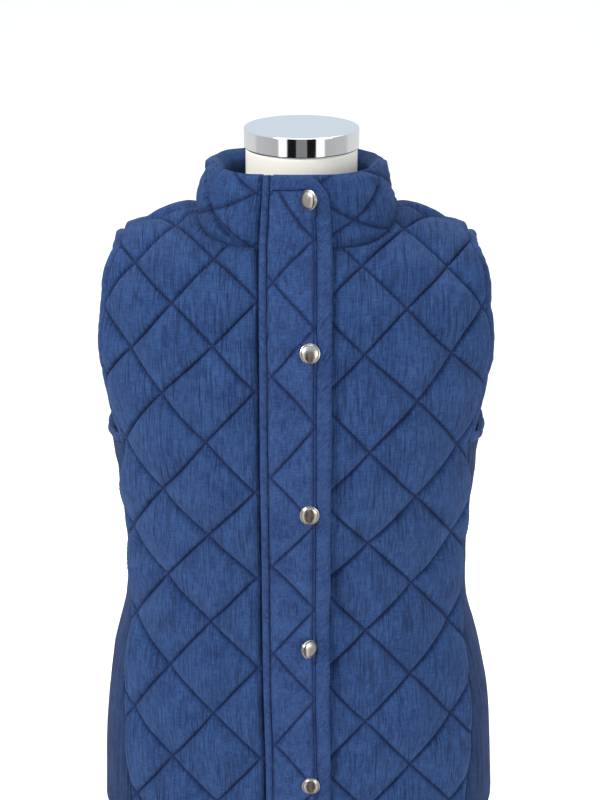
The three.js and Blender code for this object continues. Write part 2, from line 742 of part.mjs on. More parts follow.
function makeFlap() {
  const top = closingTop();
  const width = FLAP_EDGE - BINDING_INNER;
  const corner = cornerPoints(BINDING_INNER - SEAM_GAP, top - width - SEAM_GAP);
  clothPiece("placket", CLOTH, {
    outline: [
      [WELT_INNER + SEAM_GAP, HEM_Z],
      [BINDING_INNER - SEAM_GAP, HEM_Z],
      ...corner,
      [WELT_INNER + SEAM_GAP, top - width - SEAM_GAP],
    ],
    quilt: QUILT.placket,
    place: closingPlace,
    inner: FLAP_LIFT,
    outerAt: (s, t, puff) => FLAP_LIFT + SHELL + snapSeat(s, t, puff),
  });
  clothPiece("placket_binding", CLOTH, {
    outline: [
      [BINDING_INNER + SEAM_GAP, HEM_Z],
      [FLAP_EDGE, HEM_Z],
      ...cornerPoints(FLAP_EDGE, top),
      [WELT_INNER + SEAM_GAP, top],
      [WELT_INNER + SEAM_GAP, top - width + SEAM_GAP],
      ...cornerPoints(BINDING_INNER + SEAM_GAP, top - width + SEAM_GAP).reverse(),
    ],
    cell: BINDING_CELL,
    place: closingPlace,
    inner: FLAP_LIFT,
    outerAt: () => FLAP_LIFT + BINDING_THICK,
  });
}

// A strip of cloth along a path: each frame has a point, the way out and the way across.
function stripPiece(name, look, frames, section, { closed = false, rightHanded = false } = {}) {
  const position = [];
  for (const { point, out, across } of frames) {
    for (const step of section) {
      const place = point.clone().addScaledVector(across, step.across);
      position.push(...place.addScaledVector(out, step.out));
    }
  }
  const round = section.length;
  const index = [];
  const spans = closed ? frames.length : frames.length - 1;
  for (let k = 0; k < spans; k += 1) {
    const [here, next] = [k * round, ((k + 1) % frames.length) * round];
    for (let n = 0; n < round; n += 1) {
      const m = (n + 1) % round;
      index.push(here + n, next + n, next + m, here + n, next + m, here + m);
    }
  }
  if (!closed) {
    const last = (frames.length - 1) * round;
    for (let n = 1; n < round - 1; n += 1) {
      index.push(0, n, n + 1, last, last + n + 1, last + n);
    }
  }
  const geometry = new THREE.BufferGeometry();
  geometry.setAttribute("position", new THREE.BufferAttribute(new Float32Array(position), 3));
  geometry.setIndex(rightHanded ? index : index.reverse());
  return addPiece(name, geometry, look);
}

// The piping's round top, in shares of half its width; where down is 1 it reaches the cloth
const WELT_SECTION = [
  { across: -1, down: 1 },
  { across: -1, down: 0.8 },
  { across: -0.6, down: 0.22 },
  { across: 0, down: 0 },
  { across: 0.6, down: 0.22 },
  { across: 1, down: 0.8 },
  { across: 1, down: 1 },
];

function makeWelt() {
  const middle = (WELT_OUTER + WELT_INNER) / 2;
  const half = (WELT_INNER - WELT_OUTER) / 2;
  const section = WELT_SECTION.map(({ across, down }) => ({
    across: across * half,
    out: down === 1 ? 0 : WELT.rise - down * half,
  }));
  const frames = [];
  const top = closingTop();
  for (let k = 0; k <= WELT.steps; k += 1) {
    const t = THREE.MathUtils.lerp(HEM_Z, top, k / WELT.steps);
    const out = normalOf(closingPoint, middle, t, 1);
    const across = closingPoint(middle + STEP, t).sub(closingPoint(middle - STEP, t));
    across.divideScalar(2 * STEP); // narrower where the collar leans in
    frames.push({ point: closingPoint(middle, t), out, across });
  }
  stripPiece("placket_piping", CLOTH, frames, section);
}

// The armhole binding: round the front edge, over the shoulder, down the back and under the arm
function makeArmholeBindings() {
  for (const [name, hand] of [["armhole_binding_right", -1], ["armhole_binding_left", 1]]) {
    const edge = [];
    const addBody = (side, points) => {
      for (const [s, t] of points) {
        edge.push({ point: bodyPoint(side, hand * s, t), out: bodyNormal(side, hand * s, t) });
      }
    };
    addBody("front", armholePoints("front").slice(1));
    addBody("back", armholePoints("back").reverse().slice(1, -1));
    const beside = (a, b) => sidePoint(hand, hand * a, b);
    for (const [s, t] of underarmPoints(0)) {
      edge.push({ point: beside(hand * s, t), out: normalOf(beside, hand * s, t, 1) });
    }
    const frames = edge.map(({ point, out }, n) => {
      const before = edge[(n + edge.length - 1) % edge.length].point;
      const after = edge[(n + 1) % edge.length].point;
      const along = after.clone().sub(before).normalize();
      const across = along.cross(out).multiplyScalar(hand).normalize();
      return { point, out, across };
    });
    stripPiece(name, CLOTH, frames, ARMHOLE_SECTION, { closed: true, rightHanded: hand < 0 });
  }
}

function makeSnaps() {
  const cap = turned(SNAP_PROFILE, SNAP_SEGMENTS);
  SNAPS.forEach(({ at, gap }, n) => {
    const out = normalOf(closingPoint, SNAP_ACROSS, at, 1);
    const lift = FLAP_LIFT + SHELL + SNAP_SEAT_RISE + gap;
    const mesh = addPiece(`snap_${n + 1}`, cap, NICKEL);
    mesh.position.copy(closingPoint(SNAP_ACROSS, at).addScaledVector(out, lift));
    mesh.quaternion.setFromUnitVectors(new THREE.Vector3(0, 0, 1), out);
  });
}

// The form follows the inside of the cloth, a little smaller, and touches it at the shoulders.
function insideForm(x, y, z) {
  const side = y < 0 ? "front" : "back";
  const level = Math.min(z, DOME_Z);
  const half = readTable(FORM, level, "half");
  if (Math.abs(x) >= half) return false;
  const depth = readTable(LEVELS, level, side) - readTable(FORM, level, "ease");
  const wall = depth * (1 - (Math.abs(x) / half) ** RING_POWER) ** (1 / RING_POWER);
  if (z <= DOME_Z) return Math.abs(y) < wall;
  const share = (z - DOME_Z) / (ridgeHeight(x) - FORM_RIDGE_EASE);
  if (share >= 1) return false;
  return Math.abs(y) < wall * (1 - share ** DOME_POWER[side]) ** (1 / DOME_POWER[side]);
}

function formReach(angle, z) {
  let [near, far] = [0, FORM_SEARCH.farthest];
  for (let k = 0; k < FORM_SEARCH.halvings; k += 1) {
    const middle = (near + far) / 2;
    if (insideForm(middle * Math.sin(angle), -middle * Math.cos(angle), z)) near = middle;
    else far = middle;
  }
  return near;
}

function makeForm() {
  const position = [];
  FORM_HEIGHTS.forEach((z, row) => {
    const rounding = FORM_FOOT_ROUND[row] ?? 1;
    const middle = z > RIDGE_Z ? 0 : readTable(LEVELS, Math.min(z, DOME_Z), "middle");
    const neck = z > DOME_Z ? FORM_NECK_RADIUS : 0;
    for (let k = 0; k < FORM_POINTS; k += 1) {
      const angle = (k / FORM_POINTS) * 2 * Math.PI;
      const wide = (formReach(angle, z) ** NECK_BLEND + neck ** NECK_BLEND) ** (1 / NECK_BLEND);
      const reach = wide * rounding;
      position.push(middle + reach * Math.sin(angle), -reach * Math.cos(angle), z);
    }
  });
  const rows = FORM_HEIGHTS.length;
  const index = [];
  for (let row = 0; row < rows - 1; row += 1) {
    for (let k = 0; k < FORM_POINTS; k += 1) {
      const m = (k + 1) % FORM_POINTS;
      const [a, b] = [row * FORM_POINTS + k, row * FORM_POINTS + m];
      index.push(a, b, b + FORM_POINTS, a, b + FORM_POINTS, a + FORM_POINTS);
    }
  }
  const top = (rows - 1) * FORM_POINTS;
  for (let k = 1; k < FORM_POINTS - 1; k += 1) {
    index.push(0, k + 1, k, top, top + k, top + k + 1);
  }
  const geometry = new THREE.BufferGeometry();
  geometry.setAttribute("position", new THREE.BufferAttribute(new Float32Array(position), 3));
  geometry.setIndex(index);
  addPiece("form_torso", geometry, LINEN);
}

function turned(profile, segments) {
  const points = profile.map(({ radius, height }) => new THREE.Vector2(radius, height));
  return new THREE.LatheGeometry(points, segments).rotateX(Math.PI / 2);
}

// A round disc or rod with a small chamfer round its upper edge
function disc(radius, low, high, chamfer) {
  return [
    { radius: 0, height: low },
    { radius, height: low },
    { radius, height: high - chamfer },
    { radius: radius - chamfer, height: high },
  ];
}

function makeStand() {
  const cap = disc(CAP_RADIUS, CAP_TOP_Z - CAP_HEIGHT, CAP_TOP_Z, CAP_CHAMFER);
  cap.push({ radius: 0, height: CAP_TOP_Z });
  addPiece("neck_cap", turned(cap, TURNED_SEGMENTS.round), CHROME);
  const pole = [
    { radius: 0, height: POLE.bottom },
    { radius: POLE.radius, height: POLE.bottom },
    { radius: POLE.radius, height: POLE.top },
    { radius: 0, height: POLE.top },
  ];
  addPiece("pole", turned(pole, TURNED_SEGMENTS.pole), CHROME);
  const bossTop = BASE.height + BASE.bossRise;
  const base = disc(BASE.radius, 0, BASE.height, BASE.chamfer);
  base.push({ radius: BASE.bossRadius, height: BASE.height });
  base.push({ radius: BASE.bossRadius, height: bossTop }, { radius: 0, height: bossTop });
  addPiece("base_plate", turned(base, TURNED_SEGMENTS.round), CHROME);
}

makeFronts();
makeBack();
makeSidePanels();
makeCollar();
makeFlap();
makeWelt();
makeArmholeBindings();
makeSnaps();
makeForm();
makeStand();

export default vest;
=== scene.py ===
# %% [markdown]
# # A quilted vest on a dress form
# The vest is padded cloth, stitched in diamonds, worn by a limbless form with a chrome neck cap.
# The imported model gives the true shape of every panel. This script sews a finer panel over each
# one: the same flat cut, laid out in millimetres, filled with small triangles and then bent round
# the body. That is how a maker works too, so seams, stitch lines and weave all follow the cloth.

import math

import bpy
import numpy as np
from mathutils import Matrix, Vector
from mathutils.geometry import delaunay_2d_cdt


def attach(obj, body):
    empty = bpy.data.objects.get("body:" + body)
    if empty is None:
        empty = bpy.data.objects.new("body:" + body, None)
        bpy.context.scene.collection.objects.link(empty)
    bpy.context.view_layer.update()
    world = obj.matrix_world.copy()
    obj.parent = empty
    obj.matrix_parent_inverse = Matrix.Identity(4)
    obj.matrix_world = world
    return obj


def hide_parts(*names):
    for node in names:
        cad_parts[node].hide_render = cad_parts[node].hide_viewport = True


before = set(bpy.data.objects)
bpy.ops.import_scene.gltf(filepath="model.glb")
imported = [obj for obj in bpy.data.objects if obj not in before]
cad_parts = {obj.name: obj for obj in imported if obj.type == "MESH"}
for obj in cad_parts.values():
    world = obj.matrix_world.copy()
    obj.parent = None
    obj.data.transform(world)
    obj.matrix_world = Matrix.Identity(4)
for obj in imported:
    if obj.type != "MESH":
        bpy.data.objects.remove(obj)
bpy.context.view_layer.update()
MM = 0.001
print("solids in the frame:", len(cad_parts))

# %% [markdown]
# ## The camera
# The photograph looks down on the vest from a little above the neck cap, through a long lens.
# The eye's place was worked out from the cap, taken as 105 mm across, and from how round its
# top looks. The sensor's 36 mm lie along the long side of the 600 by 800 picture.

# %% Camera
EYE = Vector((-1.4, -1400, 1218)) * MM
PITCH = 21.87  # degrees that the camera looks down
LENS = 70.05

camera_data = bpy.data.cameras.new("camera")
camera_data.lens = LENS
camera = bpy.data.objects.new("camera", camera_data)
camera.location = EYE
camera.rotation_euler = (math.radians(90 - PITCH), 0, 0)
bpy.context.collection.objects.link(camera)
bpy.context.scene.camera = camera
bpy.context.scene.view_settings.view_transform = "Standard"
print("the camera stands", round(-EYE.y, 2), "m in front of the neck")

# %% [markdown]
# ## The sizes of the vest
# All lengths are millimetres. Each row of LEVELS is a slice through the inside of the cloth:
# half its width, how far it reaches to the front and to the back, and where its middle is.
# Between the rows the sizes are read along a smooth curve, so a few rows make a soft shape.

# %% Sizes
HEM_Z = 215
UNDERARM_Z = 645
DOME_Z = 727  # the chest turns in towards the shoulders above this
RIDGE_Z = 862  # the shoulder line, carried on to the middle of the neck
RIDGE = {"drop": 43, "reach": 163, "power": 1.55}
TIP_X = 158
LEVELS = [
    {"z": 175, "half": 203, "front": 117, "back": 112, "middle": -3},
    {"z": 215, "half": 203, "front": 117, "back": 112, "middle": -3},
    {"z": 318, "half": 197, "front": 113, "back": 108, "middle": -3},
    {"z": 387, "half": 186, "front": 108, "back": 103, "middle": -4.5},
    {"z": 450, "half": 170, "front": 104, "back": 97, "middle": -5},
    {"z": 514, "half": 167, "front": 106, "back": 95, "middle": -5},
    {"z": 575, "half": 171, "front": 116, "back": 99, "middle": -5},
    {"z": 633, "half": 176, "front": 127, "back": 106, "middle": -5},
    {"z": 690, "half": 184, "front": 127, "back": 108, "middle": -5},
    {"z": 727, "half": 193, "front": 125.5, "back": 107, "middle": -5},
]
RING_POWER = 2.4
DOME_POWER = {"front": 2.12, "back": 2.4}
SIDE_SEAM = [
    {"z": 215, "arc": 88},
    {"z": 318, "arc": 71},
    {"z": 410, "arc": 54},
    {"z": 450, "arc": 43},
    {"z": 514, "arc": 40},
    {"z": 585, "arc": 48},
    {"z": 615, "arc": 62},
    {"z": 645, "arc": 76},
]
UNDERARM = [(0.78, 5), (0.4, 8), (0, 9), (-0.4, 8), (-0.78, 5)]  # share of the panel, drop
ARMHOLE = [(668, 164), (690, 168), (727, 172), (771, 171), (794, 168), (809, 163)]  # z, x
NECK = {"half": 87, "front": 80, "back": 74, "power": 3}
COLLAR_TOP = {"half": 74, "front": 72, "back": 66, "power": 2.7, "front_z": 896, "back_z": 890}
COLLAR_TILT = 8  # degrees that the collar's outside faces up
COLLAR_BELLY = 1
MITRE = 20  # the cloth turns into the neck seam over this distance

# %% [markdown]
# ## Reading a table, and walking round a quarter of the body
# A slice of a body is close to a superellipse: rounder than a box, squarer than an oval.
# Cloth is measured along itself, so each slice is walked from the centre front or back and the
# places at even steps of that walk are kept. A point is then found by its distance along the cloth.

# %% Tables and walks
WALK_STEPS = 256
RING_ROWS = 185
DOME_ROWS = 160


def smooth(low, high, value):
    k = np.clip((np.asarray(value, float) - low) / (high - low), 0, 1)
    return k * k * (3 - 2 * k)


def mix(first, second, share):
    return first * (1 - share) + second * share


def eased_between(values, slopes, i, k, span):
    """A smooth curve from value i to the next one, k of the way along the span."""
    rise = 3 * k**2 - 2 * k**3
    lead = (k**3 - 2 * k**2 + k) * slopes[i] + (k**3 - k**2) * slopes[i + 1]
    return values[i] + (values[i + 1] - values[i]) * rise + lead * span


def span_of(levels, here):
    return np.clip(np.searchsorted(levels, here, side="right") - 1, 0, len(levels) - 2)


def read_table(rows, z, key):
    levels = np.array([row["z"] for row in rows], float)
    values = np.array([row[key] for row in rows], float)
    slopes = np.zeros(len(rows))
    slopes[1:-1] = (values[2:] - values[:-2]) / (levels[2:] - levels[:-2])
    here = np.clip(z, levels[0], levels[-1])
    i = span_of(levels, here)
    span = levels[i + 1] - levels[i]
    return eased_between(values, slopes, i, (here - levels[i]) / span, span)


def flat_run(x, y):
    """How far along a flat line each of its points is."""
    return np.concatenate([[0], np.cumsum(np.hypot(np.diff(x), np.diff(y)))])


def line_run(points):
    return np.concatenate([[0], np.cumsum(np.linalg.norm(np.diff(points, axis=0), axis=1))])


def quarter_walk(first, second, power):
    """Rows a, b and run of a quarter superellipse, from the end of its first half-axis."""
    angle = np.linspace(0, math.pi / 2, WALK_STEPS + 1)
    a = first * np.cos(angle).clip(0) ** (2 / power)
    b = second * np.sin(angle) ** (2 / power)
    return a, b, flat_run(a, b)


def even_walks(firsts, seconds, power):
    """One walk a row, read at even steps along it: a, b and each row's whole length."""
    share = np.linspace(0, 1, WALK_STEPS + 1)
    rows = [quarter_walk(first, second, power) for first, second in zip(firsts, seconds)]
    a = np.array([np.interp(share * run[-1], run, a) for a, _, run in rows])
    b = np.array([np.interp(share * run[-1], run, b) for _, b, run in rows])
    return {"a": a, "b": b, "length": np.array([run[-1] for _, _, run in rows])}


def look_up(table, row, column):
    """A table read between its rows and columns."""
    i = np.clip(row.astype(int), 0, table.shape[0] - 2)
    j = np.clip(column.astype(int), 0, table.shape[1] - 2)
    low, high = (mix(table[k, j], table[k, j + 1], column - j) for k in (i, i + 1))
    return mix(low, high, row - i)


def ridge_height(x):
    return RIDGE_Z - RIDGE["drop"] * (np.abs(x) / RIDGE["reach"]) ** RIDGE["power"] - DOME_Z


ring_levels = np.linspace(LEVELS[0]["z"], DOME_Z, RING_ROWS)
RINGS = {}
DOMES = {}
for side in ("front", "back"):
    halves = read_table(LEVELS, ring_levels, "half")
    RINGS[side] = even_walks(read_table(LEVELS, ring_levels, side), halves, RING_POWER)
    places = np.linspace(0, WALK_STEPS, DOME_ROWS + 1)
    top_ring = {key: np.interp(places, range(WALK_STEPS + 1), RINGS[side][key][-1]) for key in "ab"}
    DOMES[side] = even_walks(top_ring["a"].clip(1), ridge_height(top_ring["b"]), DOME_POWER[side])
print("round the hem:", round(2 * sum(RINGS[side]["length"][0] for side in RINGS)), "mm")

# %% [markdown]
# ## The inside of the cloth
# `body_point` turns two distances on the cloth into a place in space: s round the body from the
# centre line, t up along the cloth. Up to the chest t is a height. Above it the cloth bends over
# to the shoulder line. The way out of the surface comes from two short steps on it.

# %% Body surface
FACING = {"front": -1, "back": 1}
STEP = 3


def ring_length(side, t):
    return np.interp(t, ring_levels, RINGS[side]["length"])


def body_point(side, s, t):
    s, t = np.broadcast_arrays(np.asarray(s, float), np.asarray(t, float))
    level = np.minimum(t, DOME_Z)
    rings, domes = RINGS[side], DOMES[side]
    row = (level - ring_levels[0]) / (ring_levels[1] - ring_levels[0])
    share = np.clip(np.abs(s) / ring_length(side, level), 0, 1)
    a = look_up(rings["a"], row, share * WALK_STEPS)
    b = look_up(rings["b"], row, share * WALK_STEPS)
    dome_row = share * DOME_ROWS
    length = np.interp(dome_row, range(DOME_ROWS + 1), domes["length"])
    column = np.clip((t - DOME_Z) / length, 0, 1) * WALK_STEPS
    over = t > DOME_Z
    depth = np.where(over, look_up(domes["a"], dome_row, column), a)
    height = np.where(over, DOME_Z + look_up(domes["b"], dome_row, column), t)
    x = read_table(LEVELS, level, "middle") + np.sign(s) * b
    return np.stack([x, FACING[side] * depth, height], axis=-1)


def shoulder_top(side, s):
    share = np.clip(np.abs(s) / ring_length(side, DOME_Z), 0, 1)
    return DOME_Z + np.interp(share * DOME_ROWS, range(DOME_ROWS + 1), DOMES[side]["length"])


def unit(vectors):
    return vectors / np.linalg.norm(vectors, axis=-1, keepdims=True).clip(1e-9)


def way_out(point, s, t, top=np.inf):
    high = np.minimum(t + STEP, top)
    across = point(s + STEP, t) - point(s - STEP, t)
    up = point(s, high) - point(s, high - 2 * STEP)
    return unit(np.cross(across, up))


def body_out(side, s, t):
    def point(a, b):
        return body_point(side, a, b)

    return way_out(point, s, t, shoulder_top(side, s)) * -FACING[side]


def side_point(hand, s, t):
    """Round the side panel: s from the side line, negative towards the front."""
    front = body_point("front", hand * (ring_length("front", t) - np.abs(s)), t)
    back = body_point("back", hand * (ring_length("back", t) - np.abs(s)), t)
    return np.where((np.asarray(s) < 0)[..., None], front, back)


# %% [markdown]
# ## The collar and the front closing
# The collar stands on the neck seam, an oval seen from above, and leans in to a smaller oval at
# its top edge. The front closing runs up the centre front and over the seam on to the collar, so
# its surface is the two joined, with the corner between them rounded off.

# %% Collar and closing surface
OVAL_STEPS = 720
MIDDLE = float(read_table(LEVELS, DOME_Z, "middle"))
FLAP_BEND = 16  # the flap bridges the neck seam over this distance
FLAP_BEND_END = 40  # and follows the two surfaces again from this far on


def oval_walk(oval):
    angle = np.linspace(0, 2 * math.pi, OVAL_STEPS + 1)
    sin, cos = np.sin(angle), np.cos(angle)
    depth = np.where(cos > 0, oval["front"], oval["back"])
    x = oval["half"] * np.sign(sin) * np.abs(sin) ** (2 / oval["power"])
    y = -depth * np.sign(cos) * np.abs(cos) ** (2 / oval["power"])
    return x, y, flat_run(x, y)


SEAM_WALK = oval_walk(NECK)
TOP_WALK = oval_walk(COLLAR_TOP)
NECK_ROUND = SEAM_WALK[2][-1]


def on_oval(walk, u):
    x, y, run = walk
    here = np.mod(u / NECK_ROUND, 1) * run[-1]
    return np.interp(here, run, x), np.interp(here, run, y)


def dome_height(x, y):
    """The height of the cloth's inside over a place seen from above."""
    front = y < 0
    depth = np.where(front, LEVELS[-1]["front"], LEVELS[-1]["back"])
    power = np.where(front, DOME_POWER["front"], DOME_POWER["back"])
    wall = depth * (1 - (np.abs(x) / LEVELS[-1]["half"]) ** RING_POWER) ** (1 / RING_POWER)
    share = np.clip(np.abs(y) / wall, 0, 1)
    return DOME_Z + ridge_height(x) * (1 - share**power) ** (1 / power)


def dome_out(x, y):
    slope_x = (dome_height(x + STEP, y) - dome_height(x - STEP, y)) / (2 * STEP)
    slope_y = (dome_height(x, y + STEP) - dome_height(x, y - STEP)) / (2 * STEP)
    return unit(np.stack([-slope_x, -slope_y, np.ones_like(slope_x)], axis=-1))


def neck_ratio(x, y):
    depth = np.where(y < 0, NECK["front"], NECK["back"])
    power = NECK["power"]
    return ((np.abs(x) / NECK["half"]) ** power + (np.abs(y) / depth) ** power) ** (1 / power)


def collar_way(x, y):
    depth = np.where(y < 0, NECK["front"], NECK["back"])
    grow = NECK["power"] - 1
    across = np.sign(x) * np.abs(x / NECK["half"]) ** grow / NECK["half"]
    along = np.sign(y) * np.abs(y / depth) ** grow / depth
    flat = unit(np.stack([across, along, np.zeros_like(across)], axis=-1))
    tilt = math.radians(COLLAR_TILT)
    return flat * math.cos(tilt) + np.array([0, 0, math.sin(tilt)])


def collar_ends(u):
    x, y = on_oval(SEAM_WALK, u)
    low = np.stack([MIDDLE + x, y, dome_height(x, y)], axis=-1)
    top_x, top_y = on_oval(TOP_WALK, u)
    back = np.minimum((top_y / COLLAR_TOP["front"] + 1) / 2, 1)
    top_z = COLLAR_TOP["front_z"] + (COLLAR_TOP["back_z"] - COLLAR_TOP["front_z"]) * back
    return low, np.stack([top_x + MIDDLE, top_y, top_z], axis=-1), x, y


def collar_height(u):
    low, high, _, _ = collar_ends(u)
    return np.linalg.norm(high - low, axis=-1)


def collar_point(u, v):
    low, high, x, y = collar_ends(u)
    share = (v / np.linalg.norm(high - low, axis=-1))[..., None]
    belly = COLLAR_BELLY * np.sin(math.pi * np.clip(share, 0, 1))
    return low + (high - low) * share + collar_way(x, y) * belly


def collar_place(u, v, out):
    _, _, x, y = collar_ends(u)
    share = (1 - smooth(0, MITRE, v))[..., None]
    seam = unit(dome_out(x, y) * 0.5 + collar_way(x, y) * 0.5)
    way = unit(way_out(collar_point, u, v) * (1 - share) + seam * share)
    return collar_point(u, v) + way * out[..., None]


def body_place(side):
    """A way to lay a panel on the body: near the neck its edge turns to meet the collar."""

    def place(s, t, out):
        point = body_point(side, s, t)
        x, y = point[..., 0] - MIDDLE, point[..., 1]
        away = (neck_ratio(x, y) - 1) * np.hypot(x, y)
        share = (np.where(t > DOME_Z, 1 - smooth(0, MITRE, away), 0) / 2)[..., None]
        way = unit(body_out(side, s, t) * (1 - share) + collar_way(x, y) * share)
        return point + way * out[..., None]

    return place


def walk_at(side, x):
    """The dome's walk over one place across the chest, and its distance from the centre line."""
    first, second, run = quarter_walk(LEVELS[-1][side], LEVELS[-1]["half"], RING_POWER)
    depth = np.interp(x, second, first)
    return np.interp(x, second, run), quarter_walk(depth, float(ridge_height(x)), DOME_POWER[side])


def flat_from_xy(side, x, y):
    s, (a, _, run) = walk_at(side, x)
    return s, DOME_Z + np.interp(-y, -a, run)


def flat_from_xz(side, x, z):
    if z > DOME_Z:
        s, (_, b, run) = walk_at(side, x)
        return s, DOME_Z + np.interp(z - DOME_Z, b, run)
    half = float(read_table(LEVELS, z, "half"))
    _, b, run = quarter_walk(float(read_table(LEVELS, z, side)), half, RING_POWER)
    return np.interp(x, b, run), z


def oval_depth(depth, half, x):
    return depth * (1 - np.abs(x / half) ** NECK["power"]) ** (1 / NECK["power"])


NECK_TOP_S = np.arange(0, 61, 2.0)
NECK_TOP_T = np.array(
    [flat_from_xy("front", s, oval_depth(NECK["front"], NECK["half"], s))[1] for s in NECK_TOP_S]
)


def neck_top(s):
    return np.interp(np.abs(s), NECK_TOP_S, NECK_TOP_T)


def closing_at(s, t):
    seam = neck_top(s)
    on_body = body_point("front", s, np.minimum(t, seam))
    return np.where((t < seam)[..., None], on_body, collar_point(s, t - seam))


def closing_point(s, t):
    s, t = np.broadcast_arrays(np.asarray(s, float), np.asarray(t, float))
    near = 1 - smooth(FLAP_BEND, FLAP_BEND_END, np.abs(t - neck_top(s)))
    shifts = (-1, -0.5, 0, 0.5, 1)
    return sum(closing_at(s, t + shift * FLAP_BEND * near) for shift in shifts) / len(shifts)


def closing_place(s, t, out):
    return closing_point(s, t) + way_out(closing_point, s, t) * out[..., None]


CLOSING_TOP = float(neck_top(0) + collar_height(np.array([0.0]))[0])
print("the front closing is", round(CLOSING_TOP - HEM_Z), "mm long")

# %% [markdown]
# ## The outlines that a maker would cut
# Each outline is drawn in the same flat millimetres: up the side seam, round the armhole, along
# the shoulder and round the neck. A curve through a few points keeps the armhole smooth.

# %% Outlines
SEAM_GAP = 0.1
SEAM_POINTS = 160
SHOULDER_POINTS = 24
NECK_POINTS = 60
UNDERARM_POINTS = 70
BORDER_STEP = 2.2
SCALLOP = {"deep": 3.4, "middle": 0.4, "beside": 6, "points": 110, "end": 0.1}


def curve_through(points, count):
    """A smooth curve through points, at even shares of its length."""
    points = np.asarray(points, float)
    run = line_run(points)
    at = np.linspace(0, run[-1], count)
    i = span_of(run, at)
    span = (run[i + 1] - run[i])[:, None]
    k = (at - run[i])[:, None] / span
    return eased_between(points, np.gradient(points, run, axis=0), i, k, span)


def seam_arc(z):
    return read_table(SIDE_SEAM, z, "arc")


def side_seam(side):
    t = np.linspace(HEM_Z, UNDERARM_Z, SEAM_POINTS)
    return np.stack([ring_length(side, t) - seam_arc(t) - SEAM_GAP, t], axis=1)


def armhole(side, hand):
    """The bound edge, pushed out where a puff reaches it and held in where a stitch line does."""
    foot = side_seam(side)[-1]
    tip, _ = walk_at(side, TIP_X)
    rows = [flat_from_xz(side, x, z) for z, x in ARMHOLE]
    line = curve_through([foot, *rows, (tip, shoulder_top(side, tip))], SCALLOP["points"])
    puff = puff_height(quilt_on(side, hand), hand * (line[:, 0] - SCALLOP["beside"]), line[:, 1])
    along = unit(np.gradient(line, axis=0))
    outwards = np.stack([along[:, 1], -along[:, 0]], axis=1)
    share = np.linspace(0, 1, len(line))
    ends = smooth(0, SCALLOP["end"], share) * smooth(0, SCALLOP["end"], share[::-1])
    return line + outwards * (SCALLOP["deep"] * (puff - SCALLOP["middle"]) * ends)[:, None]


def shoulder(side):
    across = np.linspace(TIP_X, NECK["half"] + 1, SHOULDER_POINTS)
    s = np.array([walk_at(side, x)[0] for x in across])
    return np.stack([s, shoulder_top(side, s) - SEAM_GAP], axis=1)


def neckline(side, last_x):
    """From the shoulder to last_x, near the centre line."""
    half, depth = NECK["half"] + SEAM_GAP, NECK[side] + SEAM_GAP
    angle = np.linspace(math.pi / 2, 0, NECK_POINTS)[1:]
    across = half * np.sin(angle) ** (2 / NECK["power"])
    across = np.append(across[across > abs(last_x) + 2], abs(last_x))
    return np.array([flat_from_xy(side, x, oval_depth(depth, half, x)) for x in across])


def half_outline(side, last_x, hand):
    parts = [side_seam(side), armhole(side, hand)[1:-1], shoulder(side), neckline(side, last_x)]
    return np.concatenate(parts)


def mirrored(points):
    return (np.asarray(points) * [-1, 1])[::-1]


def underarm(gap):
    arc = float(seam_arc(UNDERARM_Z)) - gap
    rows = [(arc * share, UNDERARM_Z - drop) for share, drop in UNDERARM]
    return curve_through([(arc, UNDERARM_Z), *rows, (-arc, UNDERARM_Z)], UNDERARM_POINTS)


def even_border(outline):
    """The outline with no step longer than BORDER_STEP, its corners kept."""
    outline = np.asarray(outline, float)
    points = []
    for here, following in zip(outline, np.roll(outline, -1, axis=0)):
        count = max(round(float(np.linalg.norm(following - here)) / BORDER_STEP), 1)
        points += [here + (following - here) * k / count for k in range(count)]
    points = np.array(points)
    gaps = np.linalg.norm(points - np.roll(points, 1, axis=0), axis=1)
    return points[gaps > BORDER_STEP / 3]


# %% [markdown]
# ## Filling a cut with small triangles
# Blender's constrained Delaunay triangulation joins the outline and a grid of points inside it.
# The grid of a quilted panel lies along its stitch lines, closer where the cloth dips, so each
# line is a crisp valley. A panel is a closed wall: the outer points, the same points on the
# plain inside, and a rim that joins them.

# %% Cutting and sewing a panel
CLEAR_OF_BORDER = 1.0
ROW_RISE = 0.866  # the height of a triangle with equal sides


def edge_facts(outline, s, t):
    """Whether each point is inside the outline, and how far from it."""
    inside = np.zeros(len(s), bool)
    nearest = np.full(len(s), 1e9)
    for (s1, t1), (s2, t2) in zip(outline, np.roll(outline, -1, axis=0)):
        ds, dt = s2 - s1, t2 - t1
        k = np.clip(((s - s1) * ds + (t - t1) * dt) / max(ds * ds + dt * dt, 1e-9), 0, 1)
        nearest = np.minimum(nearest, (s - s1 - k * ds) ** 2 + (t - t1 - k * dt) ** 2)
        if dt != 0:
            crossed = ((t1 > t) != (t2 > t)) & (s < s1 + (t - t1) * ds / dt)
            inside ^= crossed
    return inside, np.sqrt(nearest)


def plain_grid(outline, step):
    """Rows of points, every second row half a step on."""
    (s_low, t_low), (s_high, t_high) = outline.min(axis=0), outline.max(axis=0)
    rows = np.arange(t_low, t_high, step * ROW_RISE)
    columns = np.arange(s_low, s_high + step, step)
    s, t = np.meshgrid(columns, rows)
    s = s + (np.arange(len(rows)) % 2)[:, None] * step / 2
    return np.stack([s.ravel(), t.ravel()], axis=1)


def cut_flat(outline, grid):
    border = even_border(outline)
    inside, distance = edge_facts(border, grid[:, 0], grid[:, 1])
    kept = grid[inside & (distance > CLEAR_OF_BORDER)]
    points = np.concatenate([border, kept])
    centre = points.mean(axis=0)
    count = len(border)
    loop = [(k, (k + 1) % count) for k in range(count)]
    found = delaunay_2d_cdt([Vector(p) for p in points - centre], loop, [], 1, 1e-5)
    places = np.array([tuple(v) for v in found[0]]) + centre
    return places, np.array([list(face) for face in found[2] if len(face) == 3])


